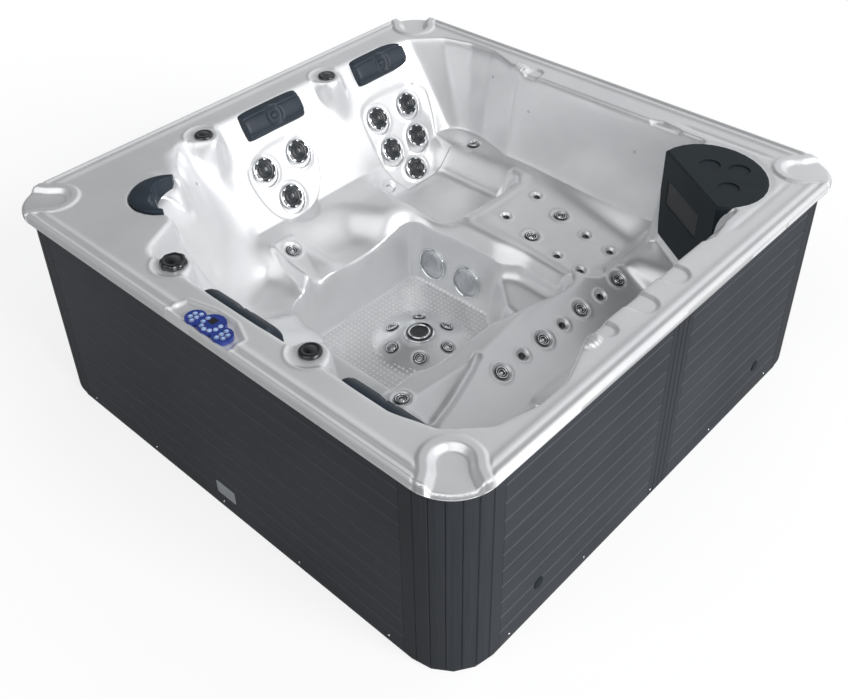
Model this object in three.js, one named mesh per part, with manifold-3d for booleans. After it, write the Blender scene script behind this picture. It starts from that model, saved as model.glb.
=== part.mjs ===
// Acrylic hot tub with two loungers, three seats, a footwell, a skirt of planks and its inner works.
// Millimetres, +Z up. The origin is the middle of the underside. The control panel faces -Y.
import * as THREE from "three";
import { mergeVertices } from "three/addons/utils/BufferGeometryUtils.js";
import Module from "manifold-3d";

const wasm = await Module();
wasm.setup();

// Overall sizes
const side = 2200; // the lip's outer face to the opposite one, both ways
const rimTop = 869; // crest of the ridge above the underside
const half = side / 2;

// Clearances
const seatGap = 0.3; // between pieces that rest on each other
const runGap = 0.5; // round a piece that turns or travels
const overrun = 4; // how far a cut runs past the face it opens

// Facet counts
const cornerSteps = 3;
const lipSteps = 4;
const roundSides = 20;
const middleSides = 16;
const smallSides = 8;

// Acrylic sheet and rim
const sheet = 8; // acrylic with its backing
const lipHeight = 40;
const lipRadius = 170; // plan radius of the lip's corners
const ridgeWidth = 62; // outer face to the flat deck
const deckDrop = 7; // ridge crest to deck
const lipBottom = rimTop - lipHeight;
const deckTop = rimTop - deckDrop;
// The ridge's double crest: share of its width inwards, share of the lip's height upwards.
const ridgeShares = [
  [0, 0],
  [0, 0.68],
  [0.07, 0.9],
  [0.24, 1],
  [0.44, 0.9],
  [0.58, 0.91],
  [0.72, 0.96],
];

// Scoops in the rim's four corners, open outwards
const scoopWidth = 158;
const scoopReach = 190; // from the corner's outer edge inwards
const scoopDepth = 12;
const scoopFoot = 24; // how far its sloping wall runs in

// Levels inside the tub, above the underside
const shoulderLevel = 450; // arm rests and the divider's top
const seatLevel = 320;
const hipLevel = 330; // bottom of the lounger's bucket
const cornerSeatLevel = 345;
const benchHipLevel = 300;
const benchLegLevel = 345;
const treadLevel = 313;
const floorLevel = 110;
const consoleLevel = 485; // top of the plinth under the screen console
const kneeLevel = 445; // lounger leg rest, at the knee
const footLevel = 350; // lounger leg rest, at the foot
const ridgeHighLevel = 430; // ridge beside the corner seat, at the wall
const ridgeLowLevel = 335; // the same ridge, at the footwell

// Plan outlines inside the tub: corners as shares of half the side, x, y and corner radius.
// The basin is the same on both sides of the diagonal from the corner seat to the console.
const basinTopShares = acrossDiagonal([
  [-0.684, -0.684, 0.1],
  [-0.482, -0.684, 0.045],
  [-0.4, -0.857, 0.055],
  [0.912, -0.857, 0.27],
  [0.912, -0.473, 0.11],
  [0.841, -0.282, 0.073],
  [0.841, 0.841, 0.2],
]);
const basinFloorShares = acrossDiagonal([
  [-0.582, -0.582, 0.1],
  [-0.45, -0.582, 0.04],
  [-0.39, -0.631, 0.045],
  [0.86, -0.631, 0.09],
  [0.86, -0.473, 0.05],
  [0.81, -0.3, 0.06],
  [0.81, 0.81, 0.2],
]);
const seatTopShares = boxOutline(-0.631, -0.33, -0.15, 0.29, 0.06);
const seatPanShares = boxOutline(-0.56, -0.33, -0.09, 0.25, 0.06);
const hipTopShares = boxOutline(-0.631, -0.145, 0.31, 0.735, 0.07);
const hipPanShares = boxOutline(-0.565, -0.195, 0.345, 0.67, 0.05);
const legTopShares = boxOutline(-0.15, 0.445, 0.365, 0.8, 0.06);
const legPanShares = boxOutline(-0.15, 0.415, 0.39, 0.74, 0.05);
const cornerSeatTopShares = boxOutline(-0.582, -0.24, -0.582, -0.24, 0.1);
const cornerSeatPanShares = boxOutline(-0.53, -0.3, -0.53, -0.3, 0.09);
const armRidgeShares = boxOutline(-0.55, -0.33, -0.245, -0.145, 0.02);
const benchLegTopShares = [
  [0.414, -0.27, 0.04],
  [0.81, -0.27, 0.04],
  [0.81, 0.48, 0.04],
  [0.7, 0.55, 0.04],
  [0.414, 0.55, 0.04],
];
const benchLegPanShares = [
  [0.6, -0.27, 0.03],
  [0.775, -0.27, 0.04],
  [0.775, 0.455, 0.03],
  [0.69, 0.51, 0.03],
  [0.6, 0.51, 0.03],
];
const benchHipTopShares = [
  [0.53, -0.631, 0.05],
  [0.86, -0.631, 0.05],
  [0.86, -0.2, 0.05],
  [0.46, -0.2, 0.03],
];
const benchHipPanShares = [
  [0.6, -0.55, 0.05],
  [0.8, -0.55, 0.05],
  [0.8, -0.24, 0.04],
  [0.6, -0.24, 0.04],
];
const footwellTopShares = [
  [-0.35, -0.427, 0.14],
  [0.325, -0.427, 0.1],
  [0.323, -0.066, 0.1],
  [0.401, 0.234, 0.05],
  [0.401, 0.327, 0.05],
  [0.157, 0.341, 0.05],
  [0.068, 0.289, 0.05],
  [-0.35, 0.289, 0.09],
];
const treadShares = [
  [-0.34, -0.415, 0.13],
  [0.315, -0.415, 0.09],
  [0.313, -0.066, 0.09],
  [0.38, 0.234, 0.04],
  [0.38, 0.31, 0.04],
  [0.157, 0.325, 0.04],
  [0.075, 0.28, 0.04],
  [-0.34, 0.28, 0.08],
];
const pitTopShares = [
  [-0.34, -0.415, 0.13],
  [0.315, -0.415, 0.09],
  [0.31, 0.13, 0.04],
  [0.22, 0.155, 0.03],
  [0.085, 0.28, 0.04],
  [-0.34, 0.28, 0.04],
];
const pitFloorShares = [
  [-0.325, -0.387, 0.12],
  [0.29, -0.387, 0.08],
  [0.29, 0.12, 0.04],
  [0.2, 0.14, 0.03],
  [0.065, 0.257, 0.04],
  [-0.325, 0.257, 0.03],
];

// Floor dome, its ring of jets and its drain cover
const domeCentreShares = [-0.023, -0.032];
const domeHeight = 40;
const domeFootRadius = 200;
const domeTopRadius = 85;
const floorJetCircle = 130;
const floorJetCount = 6;
const floorJetTurn = 13; // degrees from +X to the first one
const floorJetRadius = 27;
const floorJetRise = 6;
const floorJetBore = 10;
const drainRadius = 65;
const drainThickness = 16;
const drainSlots = 8;

// Rim knobs, and the platforms that carry them
const knobRowShare = 0.836; // from the middle of the tub to the row of knobs
const cornerKnobShare = -0.285;
const farKnobShare = 0.328;
const platformRadius = 73;
const platformDrop = 6;
const platformHeight = 120;
const platformFootRadius = 40;
const valveWall = 6;
const stemRadius = 13;
const stemLength = 34;
const diverterRadius = 48;
const diverterHeight = 25;
const diverterLobes = 8;
const lobeDepth = 4;
const plainDiverterRadius = 38;
const plainDiverterHeight = 18;
const airRadius = 38;
const airHeight = 13;
const knobBevel = 5;

// Jets: a face in a round pocket. The large ones turn on a stem in a blind socket behind the sheet.
const largeJet = { face: 53, rise: 5, pocket: 61, sink: 6, stem: 30, depth: 46, sides: 16, petals: 7 };
const smallJet = { face: 27, rise: 4, pocket: 40, sink: 4, sides: 10, petals: 5 };
const socketWall = 5;
const bezelShare = 0.16; // width of the bezel's slope to the face's radius
const dishShare = 0.62; // the petals' middle radius to the face's radius
const petalShare = 0.1;
const nozzleShare = 0.3;
const petalSteps = 2;

// Places of the jets: shares of half the side, with levels as shares of the deck's level
const seatJetShares = [
  [0.068, 0.756],
  [-0.103, 0.751],
  [-0.044, 0.602],
];
const loungerJetShares = [
  [0.662, 0.716],
  [0.49, 0.719],
  [0.645, 0.568],
  [0.493, 0.568],
  [0.569, 0.4385],
];
const loungerSideJetShares = [0.392, 0.411];
const benchJetShares = [-0.196, 0.022, 0.234, 0.456];
const benchJetRunShare = 0.43; // down the bench's inner wall
const legJetColumnShare = 0.096;
const legJetRowShares = [0.468, 0.65];
const kneeJetRunShare = 0.4; // down the wall from the knee
const armJetShares = [-0.465, 0.79];
const ridgeJetShares = [-0.509, -0.196];
const headJetShares = [0.366, -0.529];

// Suction covers on the footwell's wall
const suctionRadius = 72;
const suctionThickness = 13;
const suctionRise = 100; // above the footwell's floor
const suctionShares = [-0.225, -0.05];
const suctionSlots = 8;
const slotWidth = 5;
const slotLength = 30;
const spigotRadius = 28;
const spigotLength = 30;

// Head pillows
const pillowGap = 0.4;
const pillowWidth = 124;
const pillowThickness = 36;
const pillowLength = 322;
const pillowSink = 12; // how far its block runs into the wall before it is cut to fit
const seatPillowShare = 0.026;
const loungerPillowShare = 0.607;
const pillowTopDrop = 2; // upper edge below the deck, along the wall
const pillowPower = 5; // how square its outline is
// Sections of a pillow from its back to its crown: share of the thickness, share of the outline.
const pillowCrownShares = [
  [0.1, 0.96],
  [0.32, 1],
  [0.58, 0.96],
  [0.8, 0.85],
  [0.94, 0.66],
  [1, 0.4],
];
const cornerPillowShares = acrossDiagonal([
  [-0.738, -0.738, 0.11],
  [-0.61, -0.738, 0.05],
  [-0.535, -0.695, 0.012],
  [-0.53, -0.635, 0.012],
  [-0.64, -0.64, 0.055],
]);
const cornerPillowDrop = 90;
const cornerPillowRise = 12;
// The corner pillow upwards: share of its height, and how far each section draws in, to its rise.
const cornerPillowCrownShares = [
  [0, 1],
  [0.25, 0.3],
  [0.8, 0],
  [0.92, 0.3],
  [0.98, 0.9],
  [1, 1.8],
];

// Control panel in its pocket on the ridge
const panelShares = [0.043, -0.948];
const panelMiddleRadius = 48;
const panelLobeRadius = 36;
const panelLobeSpacing = 66; // middle circle to an end lobe, along X
const panelDepth = 14;
const panelRise = 4;
const displayLength = 26;
const displayWidth = 26;
const displayDepth = 3;
const displayShift = 8; // from the middle circle's centre towards -X
const displayLift = 12; // and towards the water
const keyRadius = 5.5;
const keyRise = 2.2;
const keyTravel = 1;
const keyDepth = 5;
const keyCircle = 32; // radius of the arc of keys round the display
const keyStart = 163; // degrees from +X
const keyStep = 36;
const arcKeys = 7;
const movingKeys = 4; // the last ones on the arc travel
const lobeKeyPitch = 19;

// Screen console: a D in plan, set across the corner
const consoleStartShares = [0.476, 0.705];
const consoleEndShares = [0.789, 0.505];
const consoleHalfWidth = 226;
const consoleBulge = 200;
const consoleCentre = 88; // chord to the widest line
const consoleTopDrop = 2;
const consoleBevel = 8;
const consoleWall = 8; // behind the screen's recess, and under the top
const cupRadius = 40;
const cupDepth = 4;
// Cup recesses: shares of the half width along the chord, shares of the bulge behind it.
const cupShares = [
  [-0.27, 0.55],
  [0.02, 0.98],
  [0.46, 0.5],
];
const screenWidth = 246;
const screenHeight = 104;
const screenThickness = 10;
const screenSink = 12;
const screenDrop = 106; // housing's top to the recess
const screenShift = 28; // towards the chord's start

// Skirt
const skirtInset = 22; // lip face to skirt face
const skirtRadius = 180;
const skirtThickness = 15;
const skirtTuck = 9; // how far it runs up behind the lip
const cornerReach = 210; // skirt face to the end of a corner panel
const panelPlay = 1; // between neighbouring panels
const plankCount = 11;
const staveCount = 7;
const grooveDepth = 3;
const grooveWidth = 7;
const stripWidth = 118;
const stripStaves = 4;
const stripCentreShare = 0.024;
const plugLevel = 150;
const plugShares = [-0.617, 0.622];
const plugShankRadius = 17;
const plugHeadRadius = 23;
const plugHeadThickness = 3;
const skirtTop = lipBottom + skirtTuck;

// Base tray and timber frame
const trayThickness = 12;
const trayInset = 24;
const trayFloor = 6;
const trayKerb = 72; // width of the raised edge under the frame
const beam = 45; // side of its posts, and width of its rails
const railHeight = 50;
const sidePosts = 2; // on each side, between the corners
const joistCount = 3;

// Inner works
const motorRadius = 80;
const motorLength = 230;
const motorFins = 10;
const finDepth = 5;
const headRadius = 105;
const headLength = 90;
const portRadius = 28;
const portLength = 50;
const footHeight = 20;
const footWidth = 150;
const footInset = 45; // from the motor's end to the foot, and on to the saddle
const pumpShares = [-0.36, 0.2]; // along the front side
const blowerShares = [-0.76, -0.76];
const blowerRadius = 85;
const blowerHeight = 130;
const packLength = 330;
const packWidth = 90;
const packHeight = 210;
const packChamfer = 10;
const heaterRadius = 32;
const heaterOverhang = 34;
const pipeLead = 41; // from the pipe's fall to the heater's end
const pipeBend = 40;
const pipeRise = 45; // above the pump's outlet
const worksGap = 14; // from the pack to the tray's kerb, and to the pumps

// Lines and levels that follow from the sizes
const lipOutline = boxOutline(-half, half, -half, half, lipRadius);
const skirtFace = half - skirtInset;
const panelEnd = skirtFace - cornerReach;
const frameFace = skirtFace - skirtThickness - seatGap;
const frameOutline = boxOutline(-frameFace, frameFace, -frameFace, frameFace, skirtRadius);
const trayFace = half - trayInset;
const trayOutline = boxOutline(-trayFace, trayFace, -trayFace, trayFace, skirtRadius);
const frameFoot = trayThickness + seatGap;
const frameTop = deckTop - sheet - seatGap;
const worksLevel = trayFloor + seatGap;
const platformTop = deckTop - platformDrop;
const up = new THREE.Vector3(0, 0, 1);
const acrossX = new THREE.Vector3(1, 0, 0);
const acrossY = new THREE.Vector3(0, 1, 0);
const diagonalMirror = new THREE.Matrix4().makeBasis(acrossY, acrossX, up);

// Outlines

// Corners of an upright rectangle with one radius, anticlockwise.
function boxOutline(x0, x1, y0, y1, radius) {
  return [
    [x0, y0, radius],
    [x1, y0, radius],
    [x1, y1, radius],
    [x0, y1, radius],
  ];
}

// Completes an outline that starts and ends on the diagonal y = x with its mirror image.
function acrossDiagonal(corners) {
  const others = corners.slice(1, -1).map(([x, y, radius]) => [y, x, radius]);
  return [...corners, ...others.reverse()];
}

// The mirror image of a whole outline in the diagonal, still anticlockwise.
function mirrored(corners) {
  return corners.map(([x, y, radius]) => [y, x, radius]).reverse();
}

function scaled(corners) {
  return corners.map((corner) => corner.map((share) => share * half));
}

// Moves each edge of an anticlockwise outline outwards and keeps its rounds concentric.
function grow(corners, distance) {
  const count = corners.length;
  return corners.map(([x, y, radius], i) => {
    const [x0, y0] = corners[(i + count - 1) % count];
    const [x1, y1] = corners[(i + 1) % count];
    const a = new THREE.Vector2(x - x0, y - y0).normalize();
    const b = new THREE.Vector2(x1 - x, y1 - y).normalize();
    const mitre = new THREE.Vector2(a.y + b.y, -a.x - b.x).multiplyScalar(distance / (1 + a.dot(b)));
    const grown = a.cross(b) > 0 ? radius + distance : radius - distance;
    return [x + mitre.x, y + mitre.y, Math.max(grown, radius / 4)];
  });
}

// Points round an outline, with each corner as an arc of the given steps.
function rounded(corners, steps = cornerSteps) {
  const count = corners.length;
  return corners.flatMap(([x, y, radius], i) => {
    const corner = new THREE.Vector2(x, y);
    const back = new THREE.Vector2(...corners[(i + count - 1) % count]).sub(corner).normalize();
    const ahead = new THREE.Vector2(...corners[(i + 1) % count]).sub(corner).normalize();
    const halfAngle = Math.acos(THREE.MathUtils.clamp(back.dot(ahead), -1, 1)) / 2;
    const inwards = back.clone().add(ahead).normalize();
    const centre = corner.clone().addScaledVector(inwards, radius / Math.sin(halfAngle));
    const start = corner.clone().addScaledVector(back, radius / Math.tan(halfAngle));
    const from = start.sub(centre).angle();
    const sweep = (Math.PI - 2 * halfAngle) * Math.sign(ahead.cross(back));
    return Array.from({ length: steps + 1 }, (_, k) => {
      const angle = from + (sweep * k) / steps;
      return new THREE.Vector2(Math.cos(angle), Math.sin(angle)).multiplyScalar(radius).add(centre);
    });
  });
}

// A round outline whose radius swells and sinks.
function lobed(radius, depth, lobes, steps) {
  return Array.from({ length: lobes * steps }, (_, k) => {
    const angle = (k / (lobes * steps)) * 2 * Math.PI;
    const reach = radius + depth * Math.cos(lobes * angle);
    return new THREE.Vector2(Math.cos(angle), Math.sin(angle)).multiplyScalar(reach);
  });
}

// Solids

// A ring of points at one level, or at a level that depends on the place.
function ring(points, level) {
  return points.map((p) => new THREE.Vector3(p.x, p.y, typeof level === "number" ? level : level(p.x, p.y)));
}

// Triangles that fill a flat ring, anticlockwise from above.
function capFaces(points) {
  const flat = points.map((p) => new THREE.Vector2(p.x, p.y));
  return THREE.ShapeUtils.triangulateShape(flat, []).map(([a, b, c]) => {
    const turn = flat[b].clone().sub(flat[a]).cross(flat[c].clone().sub(flat[a]));
    return turn > 0 ? [a, b, c] : [a, c, b];
  });
}

// A solid between rings of equal count, lowest first, each anticlockwise from above.
function loft(rings) {
  const count = rings[0].length;
  const top = (rings.length - 1) * count;
  const index = [];
  for (let base = 0; base < top; base += count) {
    for (let i = 0; i < count; i++) {
      const a = base + i;
      const b = base + ((i + 1) % count);
      index.push(a, b, b + count, a, b + count, a + count);
    }
  }
  for (const [a, b, c] of capFaces(rings[0])) index.push(a, c, b);
  for (const [a, b, c] of capFaces(rings.at(-1))) index.push(top + a, top + b, top + c);
  const positions = rings.flat().flatMap((p) => [p.x, p.y, p.z]);
  return solidFrom(new Float32Array(positions), new Uint32Array(index));
}

function solidFrom(vertProperties, triVerts) {
  return new wasm.Manifold(new wasm.Mesh({ numProp: 3, vertProperties, triVerts }));
}

// A three.js geometry as a solid whose faces point outwards.
function solid(geometry) {
  const bare = geometry.clone();
  bare.deleteAttribute("normal");
  bare.deleteAttribute("uv");
  const merged = mergeVertices(bare);
  const index = [];
  for (let i = 0; i < merged.index.count; i += 3) {
    const [a, b, c] = [0, 1, 2].map((k) => merged.index.getX(i + k));
    if (a !== b && b !== c && a !== c) index.push(a, b, c);
  }
  const positions = merged.attributes.position.array;
  const made = solidFrom(positions, new Uint32Array(index));
  return made.volume() > 0 ? made : solidFrom(positions, new Uint32Array(index).reverse());
}

function join(solids) {
  return solids.reduce((whole, next) => whole.add(next));
}

function cut(whole, cutters) {
  return cutters.reduce((left, cutter) => left.subtract(cutter), whole);
}

function moved(made, matrix) {
  return made.transform(matrix.elements);
}

function slid(made, x, y, z = 0) {
  return moved(made, new THREE.Matrix4().makeTranslation(x, y, z));
}

function spun(made, angle) {
  return moved(made, new THREE.Matrix4().makeRotationZ(angle));
}

function block(x0, x1, y0, y1, z0, z1) {
  const geometry = new THREE.BoxGeometry(x1 - x0, y1 - y0, z1 - z0);
  return solid(geometry.translate((x0 + x1) / 2, (y0 + y1) / 2, (z0 + z1) / 2));
}

// A solid of revolution about +Z from radius and height pairs that start and end on the axis.
function turned(profile, sides = middleSides) {
  const points = profile.map(([radius, height]) => new THREE.Vector2(radius, height));
  return solid(new THREE.LatheGeometry(points, sides).rotateX(Math.PI / 2));
}

function disc(radius, low, high, sides = middleSides) {
  return turned([[0, low], [radius, low], [radius, high], [0, high]], sides);
}

// The radius of a many-sided disc that lets a round of the given radius turn inside it.
function around(radius, sides = smallSides) {
  return radius / Math.cos(Math.PI / sides);
}

// A plan shape pushed up from one level to another.
function prism(points, low, high) {
  const settings = { depth: high - low, bevelEnabled: false };
  return solid(new THREE.ExtrudeGeometry(new THREE.Shape(points), settings).translate(0, 0, low));
}

// The matrix that stands a fitting's +Z along a wall's normal at a place.
function standing({ place, normal }) {
  const turn = new THREE.Quaternion().setFromUnitVectors(up, normal);
  return new THREE.Matrix4().compose(place, turn, new THREE.Vector3(1, 1, 1));
}

// Walls that carry jets and covers

// The back wall: its top and foot lines, its slope and its normal.
const backTop = basinTopShares[2][1] * half;
const backFoot = basinFloorShares[3][1] * half;
const backRun = (backFoot - backTop) / (deckTop - shoulderLevel);
const backNormal = new THREE.Vector3(1, 0, backRun).normalize();

function onBackWall(along, level) {
  const place = new THREE.Vector3(backTop + backRun * (deckTop - level), along, level);
  return { place, normal: backNormal };
}

const legSlope = (kneeLevel - footLevel) / ((legPanShares[1][0] - legPanShares[0][0]) * half);
function legLevel(x) {
  return kneeLevel - legSlope * (x - legPanShares[0][0] * half);
}

const armSlope = (ridgeHighLevel - ridgeLowLevel) / ((armRidgeShares[1][0] - armRidgeShares[0][0]) * half);
function armRidgeLevel(x) {
  return ridgeHighLevel - armSlope * (x - armRidgeShares[0][0] * half);
}

// A place on a sloping wall that runs along Y, a share of the way from its upper line to its lower one.
function onSlope(upperX, upperLevel, lowerX, lowerLevel, runShare, along) {
  const run = new THREE.Vector3(lowerX - upperX, 0, lowerLevel - upperLevel);
  const place = new THREE.Vector3(upperX, along, upperLevel).addScaledVector(run, runShare);
  const normal = new THREE.Vector3(-run.z, 0, run.x).normalize();
  return { place, normal: normal.z < 0 ? normal.negate() : normal };
}

function onBenchWall(along) {
  const upper = benchLegTopShares[0][0] * half;
  const lower = benchLegPanShares[0][0] * half;
  return onSlope(upper, shoulderLevel, lower, benchLegLevel, benchJetRunShare, along);
}

function onKneeWall(along) {
  const upper = hipTopShares[1][0] * half;
  const lower = hipPanShares[1][0] * half;
  return onSlope(upper, shoulderLevel, lower, hipLevel, kneeJetRunShare, along);
}

function onLegRest(x, along) {
  const place = new THREE.Vector3(x, along, legLevel(x));
  return { place, normal: new THREE.Vector3(legSlope, 0, 1).normalize() };
}

function onArmRidge(x, along) {
  const place = new THREE.Vector3(x, along, armRidgeLevel(x));
  return { place, normal: new THREE.Vector3(armSlope, 0, 1).normalize() };
}

function onShoulder(x, y) {
  return { place: new THREE.Vector3(x, y, shoulderLevel), normal: up };
}

// The footwell's wall towards the lounger.
function onPitWall(x) {
  const foot = pitFloorShares[5][1] * half;
  const lean = (pitTopShares[5][1] * half - foot) / (treadLevel - floorLevel);
  const place = new THREE.Vector3(x, foot + lean * suctionRise, floorLevel + suctionRise);
  return { place, normal: new THREE.Vector3(0, -1, lean).normalize() };
}

const domeSlope = domeHeight / (domeFootRadius - domeTopRadius);
function onDome(angle) {
  const out = new THREE.Vector3(Math.cos(angle), Math.sin(angle), 0);
  const level = floorLevel + (domeFootRadius - floorJetCircle) * domeSlope;
  const centre = new THREE.Vector3(domeCentreShares[0] * half, domeCentreShares[1] * half, level);
  return { place: centre.addScaledVector(out, floorJetCircle), normal: out.setZ(1 / domeSlope).normalize() };
}

const largeJetSeats = [...seatJetShares, ...loungerJetShares].map(([along, level]) =>
  onBackWall(along * half, level * deckTop),
);
const smallJetSeats = [
  onBackWall(loungerSideJetShares[0] * half, loungerSideJetShares[1] * deckTop),
  ...benchJetShares.map((share) => onBenchWall(share * half)),
  ...legJetRowShares.map((share) => onLegRest(legJetColumnShare * half, share * half)),
  ...legJetRowShares.map((share) => onKneeWall(share * half)),
  onShoulder(...armJetShares.map((share) => share * half)),
  onArmRidge(...ridgeJetShares.map((share) => share * half)),
  onShoulder(...headJetShares.map((share) => share * half)),
];
const floorJetSeats = Array.from({ length: floorJetCount }, (_, i) =>
  onDome(THREE.MathUtils.degToRad(floorJetTurn) + (i * 2 * Math.PI) / floorJetCount),
);
const suctionSeats = suctionShares.map((share) => onPitWall(share * half));
const knobSeats = [
  [-knobRowShare * half, cornerKnobShare * half],
  [-knobRowShare * half, farKnobShare * half],
  [cornerKnobShare * half, -knobRowShare * half],
  [farKnobShare * half, -knobRowShare * half],
];

// Acrylic shell

// One hollow of the tub from its pan to its mouth, or its outer skin when it is grown.
function hollow(panShares, panLevel, mouthShares, mouthLevel, skin) {
  const drop = (x, y) => (typeof panLevel === "number" ? panLevel : panLevel(x, y)) - skin;
  const mouth = rounded(grow(scaled(mouthShares), skin));
  const rings = [ring(rounded(grow(scaled(panShares), skin)), drop), ring(mouth, mouthLevel)];
  if (!skin) rings.push(ring(mouth, mouthLevel + overrun));
  return loft(rings);
}

// The upper hollow, its outer skin when it is grown, or the room for a fitted piece when it is shrunk.
function basin(skin) {
  const low = rounded(grow(scaled(basinFloorShares), skin));
  const high = rounded(grow(scaled(basinTopShares), skin));
  const rings = [ring(low, shoulderLevel - skin), ring(high, skin > 0 ? deckTop - skin / 2 : deckTop)];
  if (skin <= 0) rings.push(ring(high, rimTop + overrun));
  return loft(rings);
}

// The hollows below the arm rests. The seats on both sides of the corner seat mirror each other.
function lowerHollows(skin) {
  const otherRidge = mirrored(armRidgeShares);
  return [
    hollow(seatPanShares, seatLevel, seatTopShares, shoulderLevel, skin),
    hollow(mirrored(seatPanShares), seatLevel, mirrored(seatTopShares), shoulderLevel, skin),
    hollow(hipPanShares, hipLevel, hipTopShares, shoulderLevel, skin),
    hollow(legPanShares, legLevel, legTopShares, shoulderLevel, skin),
    hollow(benchLegPanShares, benchLegLevel, benchLegTopShares, shoulderLevel, skin),
    hollow(benchHipPanShares, benchHipLevel, benchHipTopShares, shoulderLevel, skin),
    hollow(cornerSeatPanShares, cornerSeatLevel, cornerSeatTopShares, shoulderLevel, skin),
    hollow(armRidgeShares, armRidgeLevel, armRidgeShares, shoulderLevel, skin),
    hollow(otherRidge, (x, y) => armRidgeLevel(y), otherRidge, shoulderLevel, skin),
    hollow(treadShares, treadLevel, footwellTopShares, shoulderLevel, skin),
    hollow(pitFloorShares, floorLevel, pitTopShares, treadLevel, skin),
  ];
}

// A knob's platform stands out of the wall and dies away into it.
function platforms(skin) {
  const profile = [
    [0, deckTop - platformHeight],
    [platformFootRadius - skin, deckTop - platformHeight],
    [platformRadius - skin, platformTop - skin],
    [0, platformTop - skin],
  ];
  return knobSeats.map(([x, y]) => slid(turned(profile), x, y));
}

function dome(skin) {
  const profile = [
    [0, floorLevel - sheet - overrun],
    [domeFootRadius - skin, floorLevel - sheet - overrun],
    [domeFootRadius - skin, floorLevel - skin],
    [domeTopRadius - skin, floorLevel + domeHeight - skin],
    [0, floorLevel + domeHeight - skin],
  ];
  return slid(turned(profile), domeCentreShares[0] * half, domeCentreShares[1] * half);
}

// The console's own frame: X along its chord, Y into the corner.
const consoleStart = new THREE.Vector3(...consoleStartShares, 0).multiplyScalar(half);
const consoleEnd = new THREE.Vector3(...consoleEndShares, 0).multiplyScalar(half);
const consoleAlong = consoleEnd.clone().sub(consoleStart).normalize();
const consolePlace = new THREE.Matrix4()
  .makeBasis(consoleAlong, up.clone().cross(consoleAlong), up)
  .setPosition(consoleStart.clone().lerp(consoleEnd, 1 / 2));

// The D in the console's own frame: a chord in front and a round back, grown by a margin.
function consoleOutline(margin) {
  const wide = consoleHalfWidth + margin;
  const deep = consoleBulge + margin;
  const start = Math.asin(-(consoleCentre + margin) / deep);
  return Array.from({ length: roundSides + 1 }, (_, k) => {
    const angle = start + ((Math.PI - 2 * start) * k) / roundSides;
    return new THREE.Vector2(wide * Math.cos(angle), consoleCentre + deep * Math.sin(angle));
  });
}

function consolePrism(margin, low, high) {
  return moved(prism(consoleOutline(margin), low, high), consolePlace);
}

// Scoops in the corners, from a narrow floor to a wide mouth, running out past the lip.
function scoops(skin) {
  const tip = half * Math.SQRT2 - lipRadius * (Math.SQRT2 - 1);
  const outline = (inset) => {
    const width = scoopWidth / 2 - inset + skin;
    const start = tip - scoopReach + inset - skin;
    return rounded(boxOutline(start, tip + scoopReach, -width, width, width - overrun));
  };
  const floor = deckTop - scoopDepth - skin;
  const rings = [ring(outline(scoopFoot), floor), ring(outline(0), skin ? deckTop - skin / 2 : deckTop)];
  if (!skin) rings.push(ring(outline(-scoopFoot), rimTop + overrun));
  return [1, 3, 5, 7].map((eighth) => spun(loft(rings), (eighth * Math.PI) / 4));
}

// The control panel's outline: a large middle circle with a smaller lobe at each end.
const panelTop = rimTop + panelRise;
const panelFloor = panelTop - panelDepth;
const [panelX, panelY] = panelShares.map((share) => share * half);
const lobeY = panelY - (panelMiddleRadius - panelLobeRadius);

function panelBlock(margin, low, high) {
  const bridge = panelLobeRadius * dishShare + margin;
  const lobe = disc(panelLobeRadius + margin, low, high);
  return join([
    slid(disc(panelMiddleRadius + margin, low, high), panelX, panelY),
    slid(lobe, panelX - panelLobeSpacing, lobeY),
    slid(lobe, panelX + panelLobeSpacing, lobeY),
    block(panelX - panelLobeSpacing, panelX + panelLobeSpacing, lobeY - bridge, lobeY + bridge, low, high),
  ]);
}

function jetCuts(size, seats) {
  const pocket = disc(size.pocket, -size.sink, size.sink + size.rise + overrun, size.sides);
  const bore = size.stem ? disc(around(size.stem + runGap), -size.sink - size.depth, 0, smallSides) : pocket;
  return seats.map((seat) => moved(pocket.add(bore), standing(seat)));
}

function jetBosses(size, seats) {
  const well = disc(around(size.pocket + sheet / 2), -size.sink - sheet, -sheet / 2, smallSides);
  const foot = -size.sink - size.depth - socketWall;
  const reach = around(size.stem + runGap + socketWall);
  const boss = size.stem ? disc(reach, foot, -sheet / 2, smallSides) : well;
  return seats.map((seat) => moved(well.add(boss), standing(seat)));
}

function knobBosses() {
  const pad = disc(platformRadius + sheet, platformTop - sheet, platformTop);
  const foot = platformTop - stemLength - valveWall;
  const boss = disc(around(stemRadius + runGap + valveWall), foot, platformTop, smallSides);
  return knobSeats.map(([x, y]) => slid(pad.add(boss), x, y));
}

function knobCuts() {
  const recess = disc(platformRadius, platformTop, rimTop + overrun);
  const socket = disc(around(stemRadius + runGap), platformTop - stemLength, rimTop, smallSides);
  return knobSeats.map(([x, y]) => slid(recess.add(socket), x, y));
}

function suctionBosses() {
  const boss = disc(spigotRadius + runGap + socketWall, -spigotLength - socketWall, -sheet / 2);
  return suctionSeats.map((seat) => moved(boss, standing(seat)));
}

function suctionCuts() {
  const socket = disc(spigotRadius + runGap, -spigotLength, overrun);
  return suctionSeats.map((seat) => moved(socket, standing(seat)));
}

function floorJetCollars() {
  const collar = disc(floorJetRadius, -sheet / 2, floorJetRise, smallSides);
  const bore = disc(floorJetBore, 0, floorJetRise + overrun, smallSides);
  return floorJetSeats.map((seat) => moved(collar.subtract(bore), standing(seat)));
}

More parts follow.
